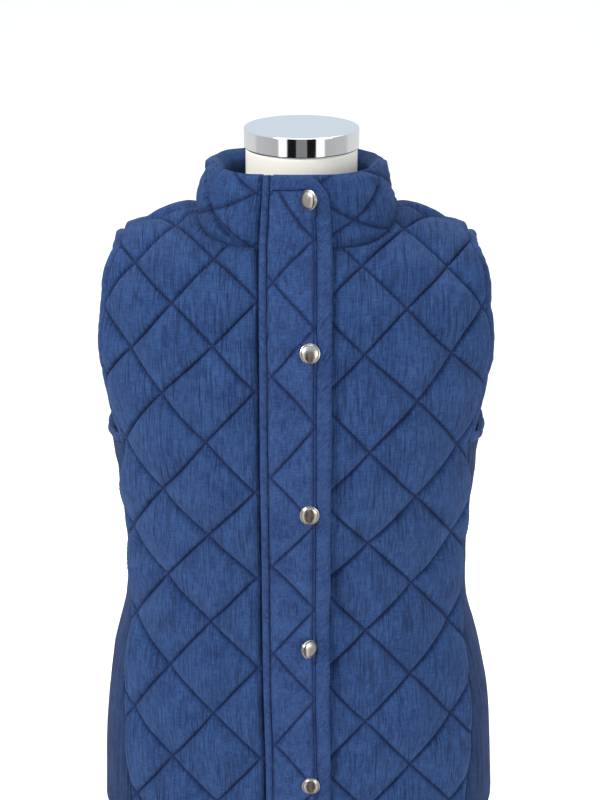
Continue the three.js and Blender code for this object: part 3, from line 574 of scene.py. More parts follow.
def border_edges(faces):
    edges = np.concatenate([faces[:, [0, 1]], faces[:, [1, 2]], faces[:, [2, 0]]])
    known = {(a, b) for a, b in edges.tolist()}
    return np.array([(a, b) for a, b in edges.tolist() if (b, a) not in known])


def mesh_piece(name, points, faces, material, flat=None, sewn=None):
    """A smooth mesh from millimetres, with the cloth's own flat places as its UV map."""
    mesh = bpy.data.meshes.new(name)
    mesh.from_pydata((np.asarray(points) * MM).tolist(), [], faces)
    mesh.shade_smooth()
    if flat is not None:
        corners = np.zeros(len(mesh.loops), int)
        mesh.loops.foreach_get("vertex_index", corners)
        layer = mesh.uv_layers.new(name="cloth")
        layer.data.foreach_set("uv", (np.asarray(flat)[corners] * MM).ravel())
    # sewn: a mask for the shade painted along stitch grooves
    if sewn is not None:
        mesh.attributes.new("sewn", "FLOAT", "POINT").data.foreach_set("value", sewn)
    mesh.materials.append(material)
    piece = bpy.data.objects.new(name, mesh)
    bpy.context.collection.objects.link(piece)
    return piece


def sew_panel(name, cut):
    """Cuts a panel, gives its points their wall and lays it on the body."""
    outline = np.asarray(cut["outline"], float)
    flat, faces = cut_flat(outline, cut["grid"])
    s, t = flat[:, 0], flat[:, 1]
    _, edge = edge_facts(even_border(outline), s, t)
    inner, outer = cut["wall"](s, t, edge)
    points = np.concatenate([cut["place"](s, t, outer), cut["place"](s, t, inner)])
    n = len(flat)
    rim = [(b, a, a + n, b + n) for a, b in border_edges(faces).tolist()]
    all_faces = faces.tolist() + (faces[:, ::-1] + n).tolist() + rim
    if cut.get("mirrored"):
        all_faces = [face[::-1] for face in all_faces]
    sewn = None
    # the outer wall carries the mask of painted groove shade, the inner wall none
    if "sewn" in cut:
        sewn = np.concatenate([cut["sewn"](s, t), np.zeros(n)])
    print(name, "has", len(all_faces), "faces")
    return mesh_piece(name, points, all_faces, cut["material"], np.concatenate([flat, flat]), sewn)


# %% [markdown]
# ## Stitch lines, puffs and creases
# Two sets of slanting stitch lines make the diamonds. `stitch_steps` counts how many lines of
# each set lie before a point, so a whole number means that the point is on a line. Between the
# lines the padding puffs up; at a line the thread pulls a narrow groove, and the thin crinkled
# cloth gathers into small upright creases that die away towards the middle.

# %% Quilting
DIAMOND = {"across": 90, "up": 98, "upright": False}
QUILT = {
    "front_right": {"s": -37, "t": 618, "sag": 0.0006, "across": 88},
    "front_left": {"s": 66, "t": 657, "sag": 0.0004},
    "back": {"s": 0, "t": 618, "sag": 0.0004},
    "collar": {"s": 53, "t": 24, "sag": 0, "across": 84, "up": 50, "upright": True},
    "placket": {"s": -22, "t": 636, "sag": 0, "across": 80},
}
QUILT = {name: {**DIAMOND, **quilt} for name, quilt in QUILT.items()}
LEAN = {"low": 680, "high": 790, "share": 0.12}  # the columns lean to the centre front
CLOSE_UP = {"low": 700, "high": 900, "by": 30}  # and the rows close up
SHELL = 3
PUFF = 7.4
EDGE_EASE = 8
EDGE_START = -0.15
SETTLE_STEPS = 6
ROUND = 3.5  # the rounding of a sewn edge
THIN_EDGE = 0.4  # the share of its thickness that a panel keeps at its very edge
GROOVE = {"deep": 2.0, "wide": 2.0, "clear": 4}
GROOVE_SHADE_WIDTH = 1.15  # half the width of the shade line painted along each stitch groove
WOBBLE = {"far": 0.7, "long": 26, "seed": 5}
CREASES = {
    "wander": {"high": 2, "wide": 40, "long": 40},
    "broad": {"high": 0.9, "wide": 6, "long": 70, "power": 1.5},
    "fine": {"high": 0.3, "wide": 4, "long": 40},
    "clear": 9,  # they start this far in from an edge
}
PULL = {"open": 0.32, "sewn": 0.75, "reach": 9}  # creases are deeper beside a line
UNEVEN = {"share": 0.14, "wide": 60}  # no two puffs are filled alike
SEEDS = {
    "front_right": 11, "front_left": 23, "back": 37, "knit": 51, "collar": 71, "collar_edge": 73,
    "crumple": 77, "flap": 91, "bias_edge": 101, "piping_out": 111, "piping_across": 112,
    "gather": 121,
}
NOISE_SIZE = 128


def lean_in(t):
    return 1 - LEAN["share"] * smooth(LEAN["low"], LEAN["high"], t)


def close_up(t):
    return t - CLOSE_UP["by"] * smooth(CLOSE_UP["low"], CLOSE_UP["high"], t)


def soft_noise(s, t, wide, high, seed):
    """Smooth random values from -1 to 1, one for each cell of cloth."""
    values = np.random.default_rng(seed).uniform(-1, 1, (NOISE_SIZE, NOISE_SIZE))
    x, y = s / wide, t / high
    i, j = np.floor(x).astype(int), np.floor(y).astype(int)
    near, far = i % NOISE_SIZE, (i + 1) % NOISE_SIZE
    rows = (j % NOISE_SIZE, (j + 1) % NOISE_SIZE)
    low, high = (mix(values[near, row], values[far, row], smooth(0, 1, x - i)) for row in rows)
    return mix(low, high, smooth(0, 1, y - j))


def line_noise(run, long, seed):
    """Smooth random values from -1 to 1 along a line."""
    return soft_noise(run, run * 0, long, 1, seed)


def wobbled(s, t, way):
    """A sewn line is never quite straight, so it wanders a little on the cloth."""
    far, long, seed = way * WOBBLE["far"], WOBBLE["long"], WOBBLE["seed"]
    across, up = (far * soft_noise(s, t, long, long, seed + k) for k in (0, 1))
    return s + across, t + up


def quilt_on(side, hand):
    if side == "back":
        return QUILT["back"]
    return QUILT["front_left" if hand > 0 else "front_right"]


def lattice_place(quilt, a, b):
    """The place on the cloth of a count of lines of each set."""
    s = quilt["s"] + quilt["across"] / 2 * (a + b)
    t = quilt["t"] + quilt["up"] / 2 * (a - b)
    if not quilt["upright"]:
        s, t = s * lean_in(t), close_up(t)
    return wobbled(s, t - quilt["sag"] * s * s, 1)


def puff_height(quilt, s, t):
    """The share of its full puff that the padding has: none on a line, all mid-diamond."""
    a, b, _ = stitch_steps(quilt, s, t)
    return np.sqrt(np.abs(np.sin(math.pi * a) * np.sin(math.pi * b)))


def stitch_steps(quilt, s, t):
    """The counts of lines at a place on the cloth, and the distance to the nearest line."""
    s, t = wobbled(s, t, -1)
    t = t + quilt["sag"] * s * s
    if not quilt["upright"]:
        level = t
        for _ in range(SETTLE_STEPS):
            level = t + CLOSE_UP["by"] * smooth(CLOSE_UP["low"], CLOSE_UP["high"], level)
        s, t = s / lean_in(level), level
    i, j = (s - quilt["s"]) / quilt["across"], (t - quilt["t"]) / quilt["up"]
    apart = 1 / math.hypot(1 / quilt["across"], 1 / quilt["up"])
    a, b = i + j, i - j
    line = apart * np.minimum(np.abs(a - np.round(a)), np.abs(b - np.round(b)))
    return a, b, line


def quilted_grid(quilt, outline, count, crowd=0.5):
    """Points along the stitch lines, closer together beside a line."""
    outline = np.asarray(outline)
    box = np.array([outline.min(axis=0), outline.max(axis=0)])
    corners = [(s, t) for s in box[:, 0] for t in box[:, 1]]
    reach = [stitch_steps(quilt, np.array([s]), np.array([t])) for s, t in corners]
    grids = []
    for k in (0, 1):
        values = [float(found[k][0]) for found in reach]
        low, high = math.floor(min(values)) - 2, math.ceil(max(values)) + 2
        u = np.arange(low * count, high * count + 1) / count
        grids.append(u - crowd * np.sin(2 * math.pi * u) / (2 * math.pi))
    a, b = np.meshgrid(*grids)
    s, t = lattice_place(quilt, a.ravel(), b.ravel())
    return np.stack([s, t], axis=1)


def upright_creases(s, t, seed):
    """Thin troughs that wander up and down the cloth."""
    wander, broad, fine = (CREASES[key] for key in ("wander", "broad", "fine"))
    s = s + wander["high"] * soft_noise(s, t, wander["wide"], wander["long"], seed)
    troughs = soft_noise(s, t, broad["wide"], broad["long"], seed + 1)
    ripples = soft_noise(s, t, fine["wide"], fine["long"], seed + 2)
    return -np.clip(troughs, 0, 1) ** broad["power"] * broad["high"] + fine["high"] * ripples


def groove_shade_on(quilt):
    """A mask that is one on the quilting lines, where the shade of their grooves is painted into the
    cloth.
    """

    def sewn(s, t):
        line = stitch_steps(quilt, s, t)[2]
        return np.exp(-((line / GROOVE_SHADE_WIDTH) ** 2))

    return sewn


def rounded(edge, radius):
    """A quarter round, from nothing at an edge to one at a radius from it."""
    return np.sqrt(1 - (1 - np.clip(edge / radius, 0, 1)) ** 2)


def quilted_wall(quilt, seed, puff_at=None, shell=SHELL, puff=PUFF):
    def wall(s, t, edge):
        line = stitch_steps(quilt, s, t)[2]
        ease = smooth(EDGE_START, 1, edge / EDGE_EASE)
        uneven = soft_noise(s, t, UNEVEN["wide"], UNEVEN["wide"], seed + 3)
        full = puff * (1 + UNEVEN["share"] * uneven)
        if puff_at is not None:
            full = full * puff_at(s, t)
        creases = upright_creases(s, t, seed) * smooth(0, CREASES["clear"], edge)
        creases = creases * (PULL["open"] + PULL["sewn"] * np.exp(-line / PULL["reach"]))
        groove = GROOVE["deep"] * np.exp(-((line / GROOVE["wide"]) ** 2))
        padding = full * puff_height(quilt, s, t) * ease
        out = shell + padding + creases * smooth(0, GROOVE["clear"], line) - groove * ease
        return np.zeros(len(s)), out * (THIN_EDGE + (1 - THIN_EDGE) * rounded(edge, ROUND))

    return wall


# %% [markdown]
# ## Finishes
# A shader node group is an effect with named inputs that more than one material can use. The
# crinkled cloth needs three: threads that cross, upright creases, and the mottling of a washed
# indigo yarn. Each puts out a height or a mask that changes over the surface. The numbers that
# are the same all over, such as roughness, are set on the shader itself.

# %% Node helpers
def add_node(tree, kind, inputs=(), **settings):
    node = tree.nodes.new(kind)
    for key, value in settings.items():
        setattr(node, key, value)
    for key, value in dict(inputs).items():
        if isinstance(value, bpy.types.NodeSocket):
            tree.links.new(value, node.inputs[key])
        else:
            node.inputs[key].default_value = value
    return node


def math_node(tree, operation, first, second=0.0):
    return add_node(tree, "ShaderNodeMath", {0: first, 1: second}, operation=operation).outputs[0]


def noise_node(tree, place, scale, detail, **more):
    inputs = {"Vector": place, "Scale": scale, "Detail": detail, **more}
    return add_node(tree, "ShaderNodeTexNoise", inputs).outputs[0]


def new_group(name, values, outputs):
    """A shader node group with a place and some values coming in: its sockets and its output."""
    group = bpy.data.node_groups.new(name, "ShaderNodeTree")
    group.interface.new_socket("Place", in_out="INPUT", socket_type="NodeSocketVector")
    for key, value in values.items():
        socket = group.interface.new_socket(key, in_out="INPUT", socket_type="NodeSocketFloat")
        socket.default_value = value
    for key in outputs:
        group.interface.new_socket(key, in_out="OUTPUT", socket_type="NodeSocketFloat")
    return group, group.nodes.new("NodeGroupInput").outputs, group.nodes.new("NodeGroupOutput")


def scaled(tree, vector, across, up):
    """The cloth's places counted in steps of the given width and height."""
    parts = add_node(tree, "ShaderNodeSeparateXYZ", {0: vector})
    x = math_node(tree, "DIVIDE", parts.outputs[0], across)
    y = math_node(tree, "DIVIDE", parts.outputs[1], up)
    return add_node(tree, "ShaderNodeCombineXYZ", {0: x, 1: y}).outputs[0]


def make_weave_group():
    """Threads that cross, and the thick and thin places of an uneven yarn in both directions."""
    values = {"Thread": 0.0008, "Slub": 0.007}
    group, sockets, result = new_group("crossing_threads", values, ["Height", "Heather"])
    place, thread, slub = (sockets[key] for key in ("Place", "Thread", "Slub"))
    parts = add_node(group, "ShaderNodeSeparateXYZ", {0: place})
    waves = []
    for part in parts.outputs[:2]:
        turns = math_node(group, "DIVIDE", part, thread)
        turns = math_node(group, "MULTIPLY", turns, math.pi)
        waves.append(math_node(group, "ABSOLUTE", math_node(group, "SINE", turns)))
    steps = ((thread, slub), (slub, thread))
    yarns = [noise_node(group, scaled(group, place, *step), 1.0, 1.5) for step in steps]
    heather = math_node(group, "MULTIPLY", math_node(group, "ADD", *yarns), 0.5)
    crossing = math_node(group, "MULTIPLY", *waves)
    height = math_node(group, "ADD", math_node(group, "MULTIPLY", crossing, 0.4), heather)
    group.links.new(height, result.inputs["Height"])
    group.links.new(heather, result.inputs["Heather"])
    return group


def make_crinkle_group():
    """Thin upright creases: long strokes where a stretched noise is high, gathered in patches. The crease
    mask also goes out alone, to paint shade into the creases.
    """
    values = {"Width": 0.004, "Length": 0.05, "From": 0.57, "To": 0.67}
    group, sockets, result = new_group("upright_crinkle", values, ["Height", "CreaseShade"])
    place = scaled(group, *(sockets[key] for key in ("Place", "Width", "Length")))
    noise = noise_node(group, place, 1.0, 2.0, Roughness=0.5, Distortion=0.08)
    shaded_crease = {"Value": noise, 1: sockets["From"], 2: sockets["To"]}
    shaded_crease = add_node(group, "ShaderNodeMapRange", shaded_crease, interpolation_type="SMOOTHSTEP")
    patches = noise_node(group, sockets["Place"], 38.0, 1.0)
    strength = {"Value": patches, "From Min": 0.32, "From Max": 0.6, "To Min": 0.5}
    strength = add_node(group, "ShaderNodeMapRange", strength)
    shaded_crease = math_node(group, "MULTIPLY", shaded_crease.outputs[0], strength.outputs[0])
    group.links.new(shaded_crease, result.inputs["CreaseShade"])
    height = math_node(group, "SUBTRACT", math_node(group, "MULTIPLY", noise, 0.5), shaded_crease)
    group.links.new(height, result.inputs["Height"])
    return group


def make_mottle_group():
    group, sockets, result = new_group("washed_yarn", {"Size": 0.03}, ["Shade"])
    place = scaled(group, sockets["Place"], sockets["Size"], sockets["Size"])
    group.links.new(noise_node(group, place, 1.0, 4.0), result.inputs["Shade"])
    return group


WEAVE = make_weave_group()
CRINKLE = make_crinkle_group()
MOTTLE = make_mottle_group()
print("effects:", ", ".join(group.name for group in (WEAVE, CRINKLE, MOTTLE)))

# %% [markdown]
# ## The blue cloth
# The fronts, the back and the collar are a crinkled double gauze; the flap's cloth lies flatter
# and shows its slubs; bindings are the same cloth cut on the bias, so their threads slant.
# One function makes all of them from a short table. The place on the cloth comes from the
# piece's own UV map, in metres, so a crease is as long on the collar as it is on the back.
# Shade is painted into the creases and along the stitch grooves as a darker blue.

# %% Cloth materials
def colour(red, green, blue):
    """A colour as it is read off a picture, 0 to 255, as the shader wants it."""

    def straight(value):
        share = value / 255
        return share / 12.92 if share <= 0.04045 else ((share + 0.055) / 1.055) ** 2.4

    return (straight(red), straight(green), straight(blue), 1.0)


def coloured(tree, tone, low, high, ends=(0, 1)):
    """A tone from 0 to 1 turned into a colour between two."""
    ramp = add_node(tree, "ShaderNodeValToRGB", {0: tone})
    for stop, position, value in zip(ramp.color_ramp.elements, ends, (low, high)):
        stop.position, stop.color = position, colour(*value)
    return ramp.outputs[0]


# Painted shade: the deep blue that the cloth turns to along its stitch grooves
GROOVE_SHADE_BLUE = (17, 27, 70)
SOFT_FINISH = {
    "Roughness": 0.9, "Specular IOR Level": 0.25, "Sheen Weight": 0.1, "Sheen Roughness": 0.5,
    "Sheen Tint": colour(140, 170, 225),
}
# In each look the crease colour, by its dark share, paints shade into the creases.
CLOTH_LOOKS = {
    "crinkled_cloth": {
        "low": (22, 46, 91), "high": (49, 80, 128), "shaded_crease": (13, 29, 70), "turn": 0,
        "width": 0.0021, "length": 0.05, "deep": 0.001, "dark": 0.5, "thread": 0.0012,
        "slub": 0.009,
    },
    "flap_cloth": {
        "low": (26, 47, 92), "high": (52, 81, 130), "shaded_crease": (20, 37, 80), "turn": 0,
        "width": 0.003, "length": 0.02, "deep": 0.0006, "dark": 0.4, "thread": 0.0012,
        "slub": 0.007,
    },
    "bias_cloth": {
        "low": (26, 47, 91), "high": (51, 79, 127), "shaded_crease": (20, 37, 79), "turn": 38,
        "width": 0.0032, "length": 0.02, "deep": 0.0006, "dark": 0.4, "thread": 0.0012,
        "slub": 0.006,
    },
    "rib_knit": {
        "low": (16, 38, 78), "high": (34, 60, 105), "shaded_crease": (8, 20, 52), "turn": 0,
        "width": 0.0026, "length": 0.16, "deep": 0.0014, "dark": 0.7, "thread": 0.0014,
        "slub": 0.01,
    },
}
# sewn: how far the painted groove shade darkens the cloth on a stitch line
CLOTH_MIX = {
    "heather": 0.75, "mottle": 0.25, "ends": (0.36, 0.64), "sewn": 0.92, "crinkle": 0.9,
    "hairs": 0.8,
}
WEAVE_RELIEF = (0.6, 0.0004)
HAIR = {"width": 0.75, "length": 0.5, "from": 0.46, "to": 0.68, "dark": 0.8}  # finer creases, with shade painted into them as well
MATERIALS = {}


def new_material(name):
    material = bpy.data.materials.new(name)
    material.use_nodes = True
    tree = material.node_tree
    MATERIALS[name] = material
    return tree, tree.nodes["Principled BSDF"]


def relief(tree, strength, distance, **inputs):
    inputs.update(Strength=strength, Distance=distance)
    return add_node(tree, "ShaderNodeBump", inputs).outputs[0]


def mixed(tree, amount, first, second):
    """One colour laid over another by a mask."""
    inputs = {"Factor": amount, 6: first, 7: second}
    return add_node(tree, "ShaderNodeMix", inputs, data_type="RGBA").outputs[2]


def place_effect(tree, group, place, **values):
    node = add_node(tree, "ShaderNodeGroup", node_tree=group)
    tree.links.new(place, node.inputs["Place"])
    for key, value in values.items():
        node.inputs[key].default_value = value
    return node.outputs


def weighed(tree, *parts):
    """The sum of some values, each times its weight."""
    total = 0.0
    for value, weight in parts:
        total = math_node(tree, "ADD", math_node(tree, "MULTIPLY", value, weight), total)
    return total


def make_cloth(name, look):
    tree, shader = new_material(name)
    place = add_node(tree, "ShaderNodeUVMap", uv_map="cloth").outputs[0]
    turn = (0, 0, math.radians(look["turn"]))
    place = add_node(tree, "ShaderNodeMapping", {"Vector": place, "Rotation": turn}).outputs[0]
    crinkle = place_effect(tree, CRINKLE, place, Width=look["width"], Length=look["length"])
    hairs = {"Width": look["width"] * HAIR["width"], "Length": look["length"] * HAIR["length"]}
    hairs = place_effect(tree, CRINKLE, place, From=HAIR["from"], To=HAIR["to"], **hairs)
    weave = place_effect(tree, WEAVE, place, Thread=look["thread"], Slub=look["slub"])
    mottle = place_effect(tree, MOTTLE, place)
    tone = weighed(tree, (weave["Heather"], CLOTH_MIX["heather"]), (mottle["Shade"], CLOTH_MIX["mottle"]))
    cloth = coloured(tree, tone, look["low"], look["high"], CLOTH_MIX["ends"])
    # Painted shade: the cloth is darkened towards a deep blue inside its fine and broad creases.
    crease_shade_colour = colour(*look["shaded_crease"])
    amount = math_node(tree, "MULTIPLY", hairs["CreaseShade"], look["dark"] * HAIR["dark"])
    cloth = mixed(tree, amount, cloth, crease_shade_colour)
    cloth = mixed(tree, math_node(tree, "MULTIPLY", crinkle["CreaseShade"], look["dark"]), cloth, crease_shade_colour)
    # Painted shade: the sewn mask darkens the cloth along its stitch grooves, where the thread pulls it
    # in.
    sewn = add_node(tree, "ShaderNodeAttribute", attribute_name="sewn").outputs["Fac"]
    amount = math_node(tree, "MULTIPLY", sewn, CLOTH_MIX["sewn"])
    cloth = mixed(tree, amount, cloth, colour(*GROOVE_SHADE_BLUE))
    tree.links.new(cloth, shader.inputs["Base Color"])
    heights = (crinkle["Height"], CLOTH_MIX["crinkle"]), (hairs["Height"], CLOTH_MIX["hairs"])
    creased = weighed(tree, *heights)
    woven = relief(tree, *WEAVE_RELIEF, Height=weave["Height"])
    normal = relief(tree, 1.0, look["deep"], Height=creased, Normal=woven)
    tree.links.new(normal, shader.inputs["Normal"])
    for key, value in SOFT_FINISH.items():
        shader.inputs[key].default_value = value


for name, look in CLOTH_LOOKS.items():
    make_cloth(name, look)
print("cloths:", ", ".join(CLOTH_LOOKS))

# %% [markdown]
# ## Linen, thread and metals
# The form is covered in undyed linen, which has threads of its own. The cap, pole and foot are
# polished chrome with faint wipe marks, and the snap caps are nickel with a turned grain.

# %% Other materials
LINEN = ((253, 246, 230), (255, 253, 243))
NAVY = ((14, 23, 62), (24, 37, 82))
METALS = {
    "chrome_plate": {"tint": (232, 236, 240), "rough": (0.03, 0.09), "marks": 40.0, "along": 1},
    "nickel_cap": {"tint": (190, 184, 176), "rough": (0.2, 0.32), "marks": 500.0, "along": 0.2},
}


def make_linen():
    tree, shader = new_material("form_linen_cloth")
    place = add_node(tree, "ShaderNodeTexCoord").outputs["Object"]
    weft, broad = noise_node(tree, place, 900.0, 2.0), noise_node(tree, place, 12.0, 3.0)
    halves = [math_node(tree, "MULTIPLY", value, 0.5) for value in (weft, broad)]
    tone = math_node(tree, "ADD", *halves)
    linen = coloured(tree, tone, *LINEN, (0.3, 0.7))
    tree.links.new(linen, shader.inputs["Base Color"])
    tree.links.new(relief(tree, 0.5, 0.0004, Height=weft), shader.inputs["Normal"])
    shader.inputs["Roughness"].default_value = 0.9


def make_metal(name, look):
    """Metal whose gloss changes a little over the surface."""
    tree, shader = new_material(name)
    place = add_node(tree, "ShaderNodeTexCoord").outputs["Object"]
    stretch = {"Vector": place, "Scale": (1, 1, look["along"])}
    place = add_node(tree, "ShaderNodeMapping", stretch).outputs[0]
    marks = noise_node(tree, place, look["marks"], 3.0)
    low, high = look["rough"]
    rough = {"Value": marks, "From Min": 0.3, "From Max": 0.7, "To Min": low, "To Max": high}
    rough = add_node(tree, "ShaderNodeMapRange", rough)
    tree.links.new(rough.outputs[0], shader.inputs["Roughness"])
    tree.links.new(relief(tree, 0.15, 0.0001, Height=marks), shader.inputs["Normal"])
    shader.inputs["Base Color"].default_value = colour(*look["tint"])
    shader.inputs["Metallic"].default_value = 1.0


def make_thread():
    tree, shader = new_material("navy_thread")
    place = add_node(tree, "ShaderNodeTexCoord").outputs["Object"]
    twist = add_node(tree, "ShaderNodeTexWave", {"Vector": place, "Scale": 900.0})
    tree.links.new(coloured(tree, twist.outputs[1], *NAVY), shader.inputs["Base Color"])
    shader.inputs["Roughness"].default_value = 0.6


make_linen()
make_thread()
for name, look in METALS.items():
    make_metal(name, look)
print("materials:", len(MATERIALS))

# %% [markdown]
# ## The fronts and the back
# The right front ends beside the piping, the left one runs on under the flap, where the padding
# is pressed flat. The back is one panel from side seam to side seam.

# %% Front and back panels
WELT_OUTER = -32
WELT_INNER = -24.6
BINDING_INNER = 18
FLAP_EDGE = 31
WELT_ROOM = 0.2
TURN_IN = 2  # the left front and the collar start this far under the flap
CENTRE = 0.5  # outlines stop this near to the centre line
FIRM_CROWD = 0.3  # the points of collar and flap crowd less towards their stitch lines
FRONT_CELLS = 28
BACK_CELLS = 24
PRESSED = 0.12
HOLLOWS = (423, 517)  # heights where the padding falls away beside the flap
HOLLOW_REACH = 13
FLAP_EASE = {"plain": (0, 16), "hollow": (4, 8.5)}  # from and to this far beyond the flap
PANELS = {}


def under_flap(s, t):
    """How much of its puff the padding keeps: little under the flap, all beyond it."""
    eased, steep = (smooth(*FLAP_EASE[key], s - FLAP_EDGE) for key in ("plain", "hollow"))
    hollow = sum(np.exp(-(((t - at) / HOLLOW_REACH) ** 4)) for at in HOLLOWS)
    return PRESSED + (1 - PRESSED) * (eased + (steep - eased) * hollow)


def sew_fronts():
    edge = -WELT_OUTER + WELT_ROOM
    right = mirrored([*half_outline("front", edge, -1), (edge, HEM_Z)])
    PANELS["front_right"] = sew_panel("front_right_cloth", {
        "outline": right,
        "grid": quilted_grid(QUILT["front_right"], right, FRONT_CELLS),
        "wall": quilted_wall(QUILT["front_right"], SEEDS["front_right"]),
        "sewn": groove_shade_on(QUILT["front_right"]),
        "place": body_place("front"),
        "material": MATERIALS["crinkled_cloth"],
    })
    start = WELT_INNER + TURN_IN
    neck_start = flat_from_xy("front", -start, oval_depth(NECK["front"], NECK["half"], start))
    left = np.array([*half_outline("front", CENTRE, 1), (start, neck_start[1]), (start, HEM_Z)])
    PANELS["front_left"] = sew_panel("front_left_cloth", {
        "outline": left,
        "grid": quilted_grid(QUILT["front_left"], left, FRONT_CELLS),
        "wall": quilted_wall(QUILT["front_left"], SEEDS["front_left"], under_flap),
        "sewn": groove_shade_on(QUILT["front_left"]),
        "place": body_place("front"),
        "material": MATERIALS["crinkled_cloth"],
    })
    return right, left


def sew_back():
    left, right = (half_outline("back", CENTRE, hand) for hand in (1, -1))
    outline = np.concatenate([left, mirrored(right)])
    PANELS["back"] = sew_panel("back_cloth", {
        "outline": outline,
        "grid": quilted_grid(QUILT["back"], outline, BACK_CELLS),
        "wall": quilted_wall(QUILT["back"], SEEDS["back"]),
        "sewn": groove_shade_on(QUILT["back"]),
        "place": body_place("back"),
        "material": MATERIALS["crinkled_cloth"],
        "mirrored": True,
    })
    return outline


RIGHT_CUT, LEFT_CUT = sew_fronts()
BACK_CUT = sew_back()

# %% [markdown]
# ## The side panels
# A thin rib knit joins the front to the back under each arm. It is not quilted: it only gathers
# a little where the bound armhole edge pulls it, so it gets soft waves near its top.

# %% Side panels
KNIT = {"thick": 1.9, "step": 2.6, "round": 1.5, "ease": 8}
GATHERS = (
    {"high": 1.1, "fade": 34, "wide": 9, "long": 60, "seed": 0},
    {"high": 1.9, "fade": 120, "wide": 40, "long": 13, "seed": 2},
)
SLACK = {"high": 0.9, "wide": 30, "long": 70, "seed": 1}


def knit_wall(seed):
    def waves(row, s, t):
        return soft_noise(s, t, row["wide"], row["long"], seed + row["seed"])

    def wall(s, t, edge):
        below = (UNDERARM_Z - t).clip(0)
        out = sum(row["high"] * np.exp(-below / row["fade"]) * waves(row, s, t) for row in GATHERS)
        out = (out + SLACK["high"] * waves(SLACK, s, t)) * smooth(0, KNIT["ease"], edge)
        return out, out + KNIT["thick"] * (0.5 + 0.5 * rounded(edge, KNIT["round"]))

    return wall


def side_place(hand):
    def point(a, b):
        return side_point(hand, hand * np.asarray(a), b)

    def place(s, t, out):
        return point(s, t) + way_out(point, s, t) * out[..., None]

    return place


def sew_sides():
    t = np.linspace(HEM_Z, UNDERARM_Z, SEAM_POINTS)
    edge = np.stack([seam_arc(t) - SEAM_GAP, t], axis=1)
    outline = np.concatenate([edge, underarm(SEAM_GAP)[1:-1], mirrored(edge)])
    for name, hand in (("right", -1), ("left", 1)):
        turned = outline if hand > 0 else mirrored(outline)
        PANELS["side_panel_" + name] = sew_panel(f"side_{name}_knit", {
            "outline": turned,
            "grid": plain_grid(turned, KNIT["step"]),
            "wall": knit_wall(SEEDS["knit"] + hand),
            "place": side_place(hand),
            "material": MATERIALS["rib_knit"],
        })


sew_sides()

# %% [markdown]
# ## The collar
# The collar is quilted too, but it is padded more than the body and it swells inwards, into a
# thick soft roll round the neck. Its outer and inner walls meet in a wide round at the top edge,
# which dips and rises a little.

# %% Collar
COLLAR_CELLS = 40
COLLAR_POINTS = 240
COLLAR_TUCK = 1.5  # the seam allowance goes in under the body's edge
COLLAR_SHELL = 4
COLLAR_PUFF = 5
ROLL = {
    "deep": 34, "in": 11, "round": 7, "rise": 0.6, "under_flap": 0.9, "least": 0.8,
    "from_flap": 22, "from_welt": 26,
}
ROLL_EDGE = {"dip": 1.2, "wide": 24, "corner": 3.5, "corner_at": 0.29, "corner_wide": 0.07}
CRUMPLE = {"high": 1.1, "wide": 7, "long": 24}
COLLAR_RIM = 0.04  # the share of its thickness that the top edge starts from
CREASE = {"u": -74, "v": 17, "long": 14, "wide": 3.6, "deep": 8, "lean": 1.6}  # a fold at its foot


def collar_edge(u):
    """The top edge: the seam's height with a few soft dips, and higher beside the neck."""
    waves = line_noise(u, ROLL_EDGE["wide"], SEEDS["collar_edge"])
    dips = ROLL_EDGE["dip"] * (0.5 + 0.5 * waves)
    away = np.abs(np.mod(u, NECK_ROUND) / NECK_ROUND - 0.5) - ROLL_EDGE["corner_at"]
    sides = ROLL_EDGE["corner"] * np.exp(-((away / ROLL_EDGE["corner_wide"]) ** 2))
    return collar_height(u) + (sides - dips) * roll_share(u)


def roll_share(u):
    """The roll is pressed flat where the flap covers it."""
    end = NECK_ROUND + WELT_OUTER
    left = smooth(BINDING_INNER, FLAP_EDGE + ROLL["from_flap"], u)
    return left * smooth(0, ROLL["from_welt"], end - u)


def collar_crease(u, v):
    """A deep slanting fold where the right front meets the collar."""
    across = np.mod(u, NECK_ROUND) - (NECK_ROUND + CREASE["u"]) + CREASE["lean"] * (v - CREASE["v"])
    reach = np.exp(-(((v - CREASE["v"]) / CREASE["long"]) ** 2))
    return CREASE["deep"] * np.exp(-((across / CREASE["wide"]) ** 2)) * reach


def collar_wall(u, v, edge):
    pressed = under_flap(u, v) * ROLL["under_flap"]
    base = quilted_wall(
        QUILT["collar"], SEEDS["collar"], lambda s, t: pressed, COLLAR_SHELL, COLLAR_PUFF
    )
    outer = np.maximum(base(u, v, edge)[1], COLLAR_SHELL * ROLL["least"])
    below = (collar_edge(u) - v).clip(0)
    noise = soft_noise(u + v, v - u, CRUMPLE["wide"], CRUMPLE["long"], SEEDS["crumple"])
    crumple = CRUMPLE["high"] * noise * smooth(0, EDGE_EASE, edge)
    outer = outer + crumple * roll_share(u) - collar_crease(u, v)
    roll = np.sin(math.pi * np.clip(below / ROLL["deep"], 0, 1) ** ROLL["rise"])
    inner = -ROLL["in"] * roll * roll_share(u) * smooth(0, EDGE_EASE, v)
    swell = COLLAR_RIM + (1 - COLLAR_RIM) * rounded(below, ROLL["round"])
    middle = (outer + inner) / 2
    return middle + (inner - middle) * swell, middle + (outer - middle) * swell


def sew_collar():
    start, end = WELT_INNER + TURN_IN, NECK_ROUND + WELT_OUTER - WELT_ROOM
    u = np.linspace(end, start, COLLAR_POINTS)
    rim = np.stack([u, collar_edge(u)], axis=1)
    outline = np.array([(start, -COLLAR_TUCK), (end, -COLLAR_TUCK), *rim])
    PANELS["collar"] = sew_panel("collar_cloth", {
        "outline": outline,
        "grid": quilted_grid(QUILT["collar"], outline, COLLAR_CELLS, FIRM_CROWD),
        "wall": collar_wall,
        "sewn": groove_shade_on(QUILT["collar"]),
        "place": collar_place,
        "material": MATERIALS["crinkled_cloth"],
    })


sew_collar()
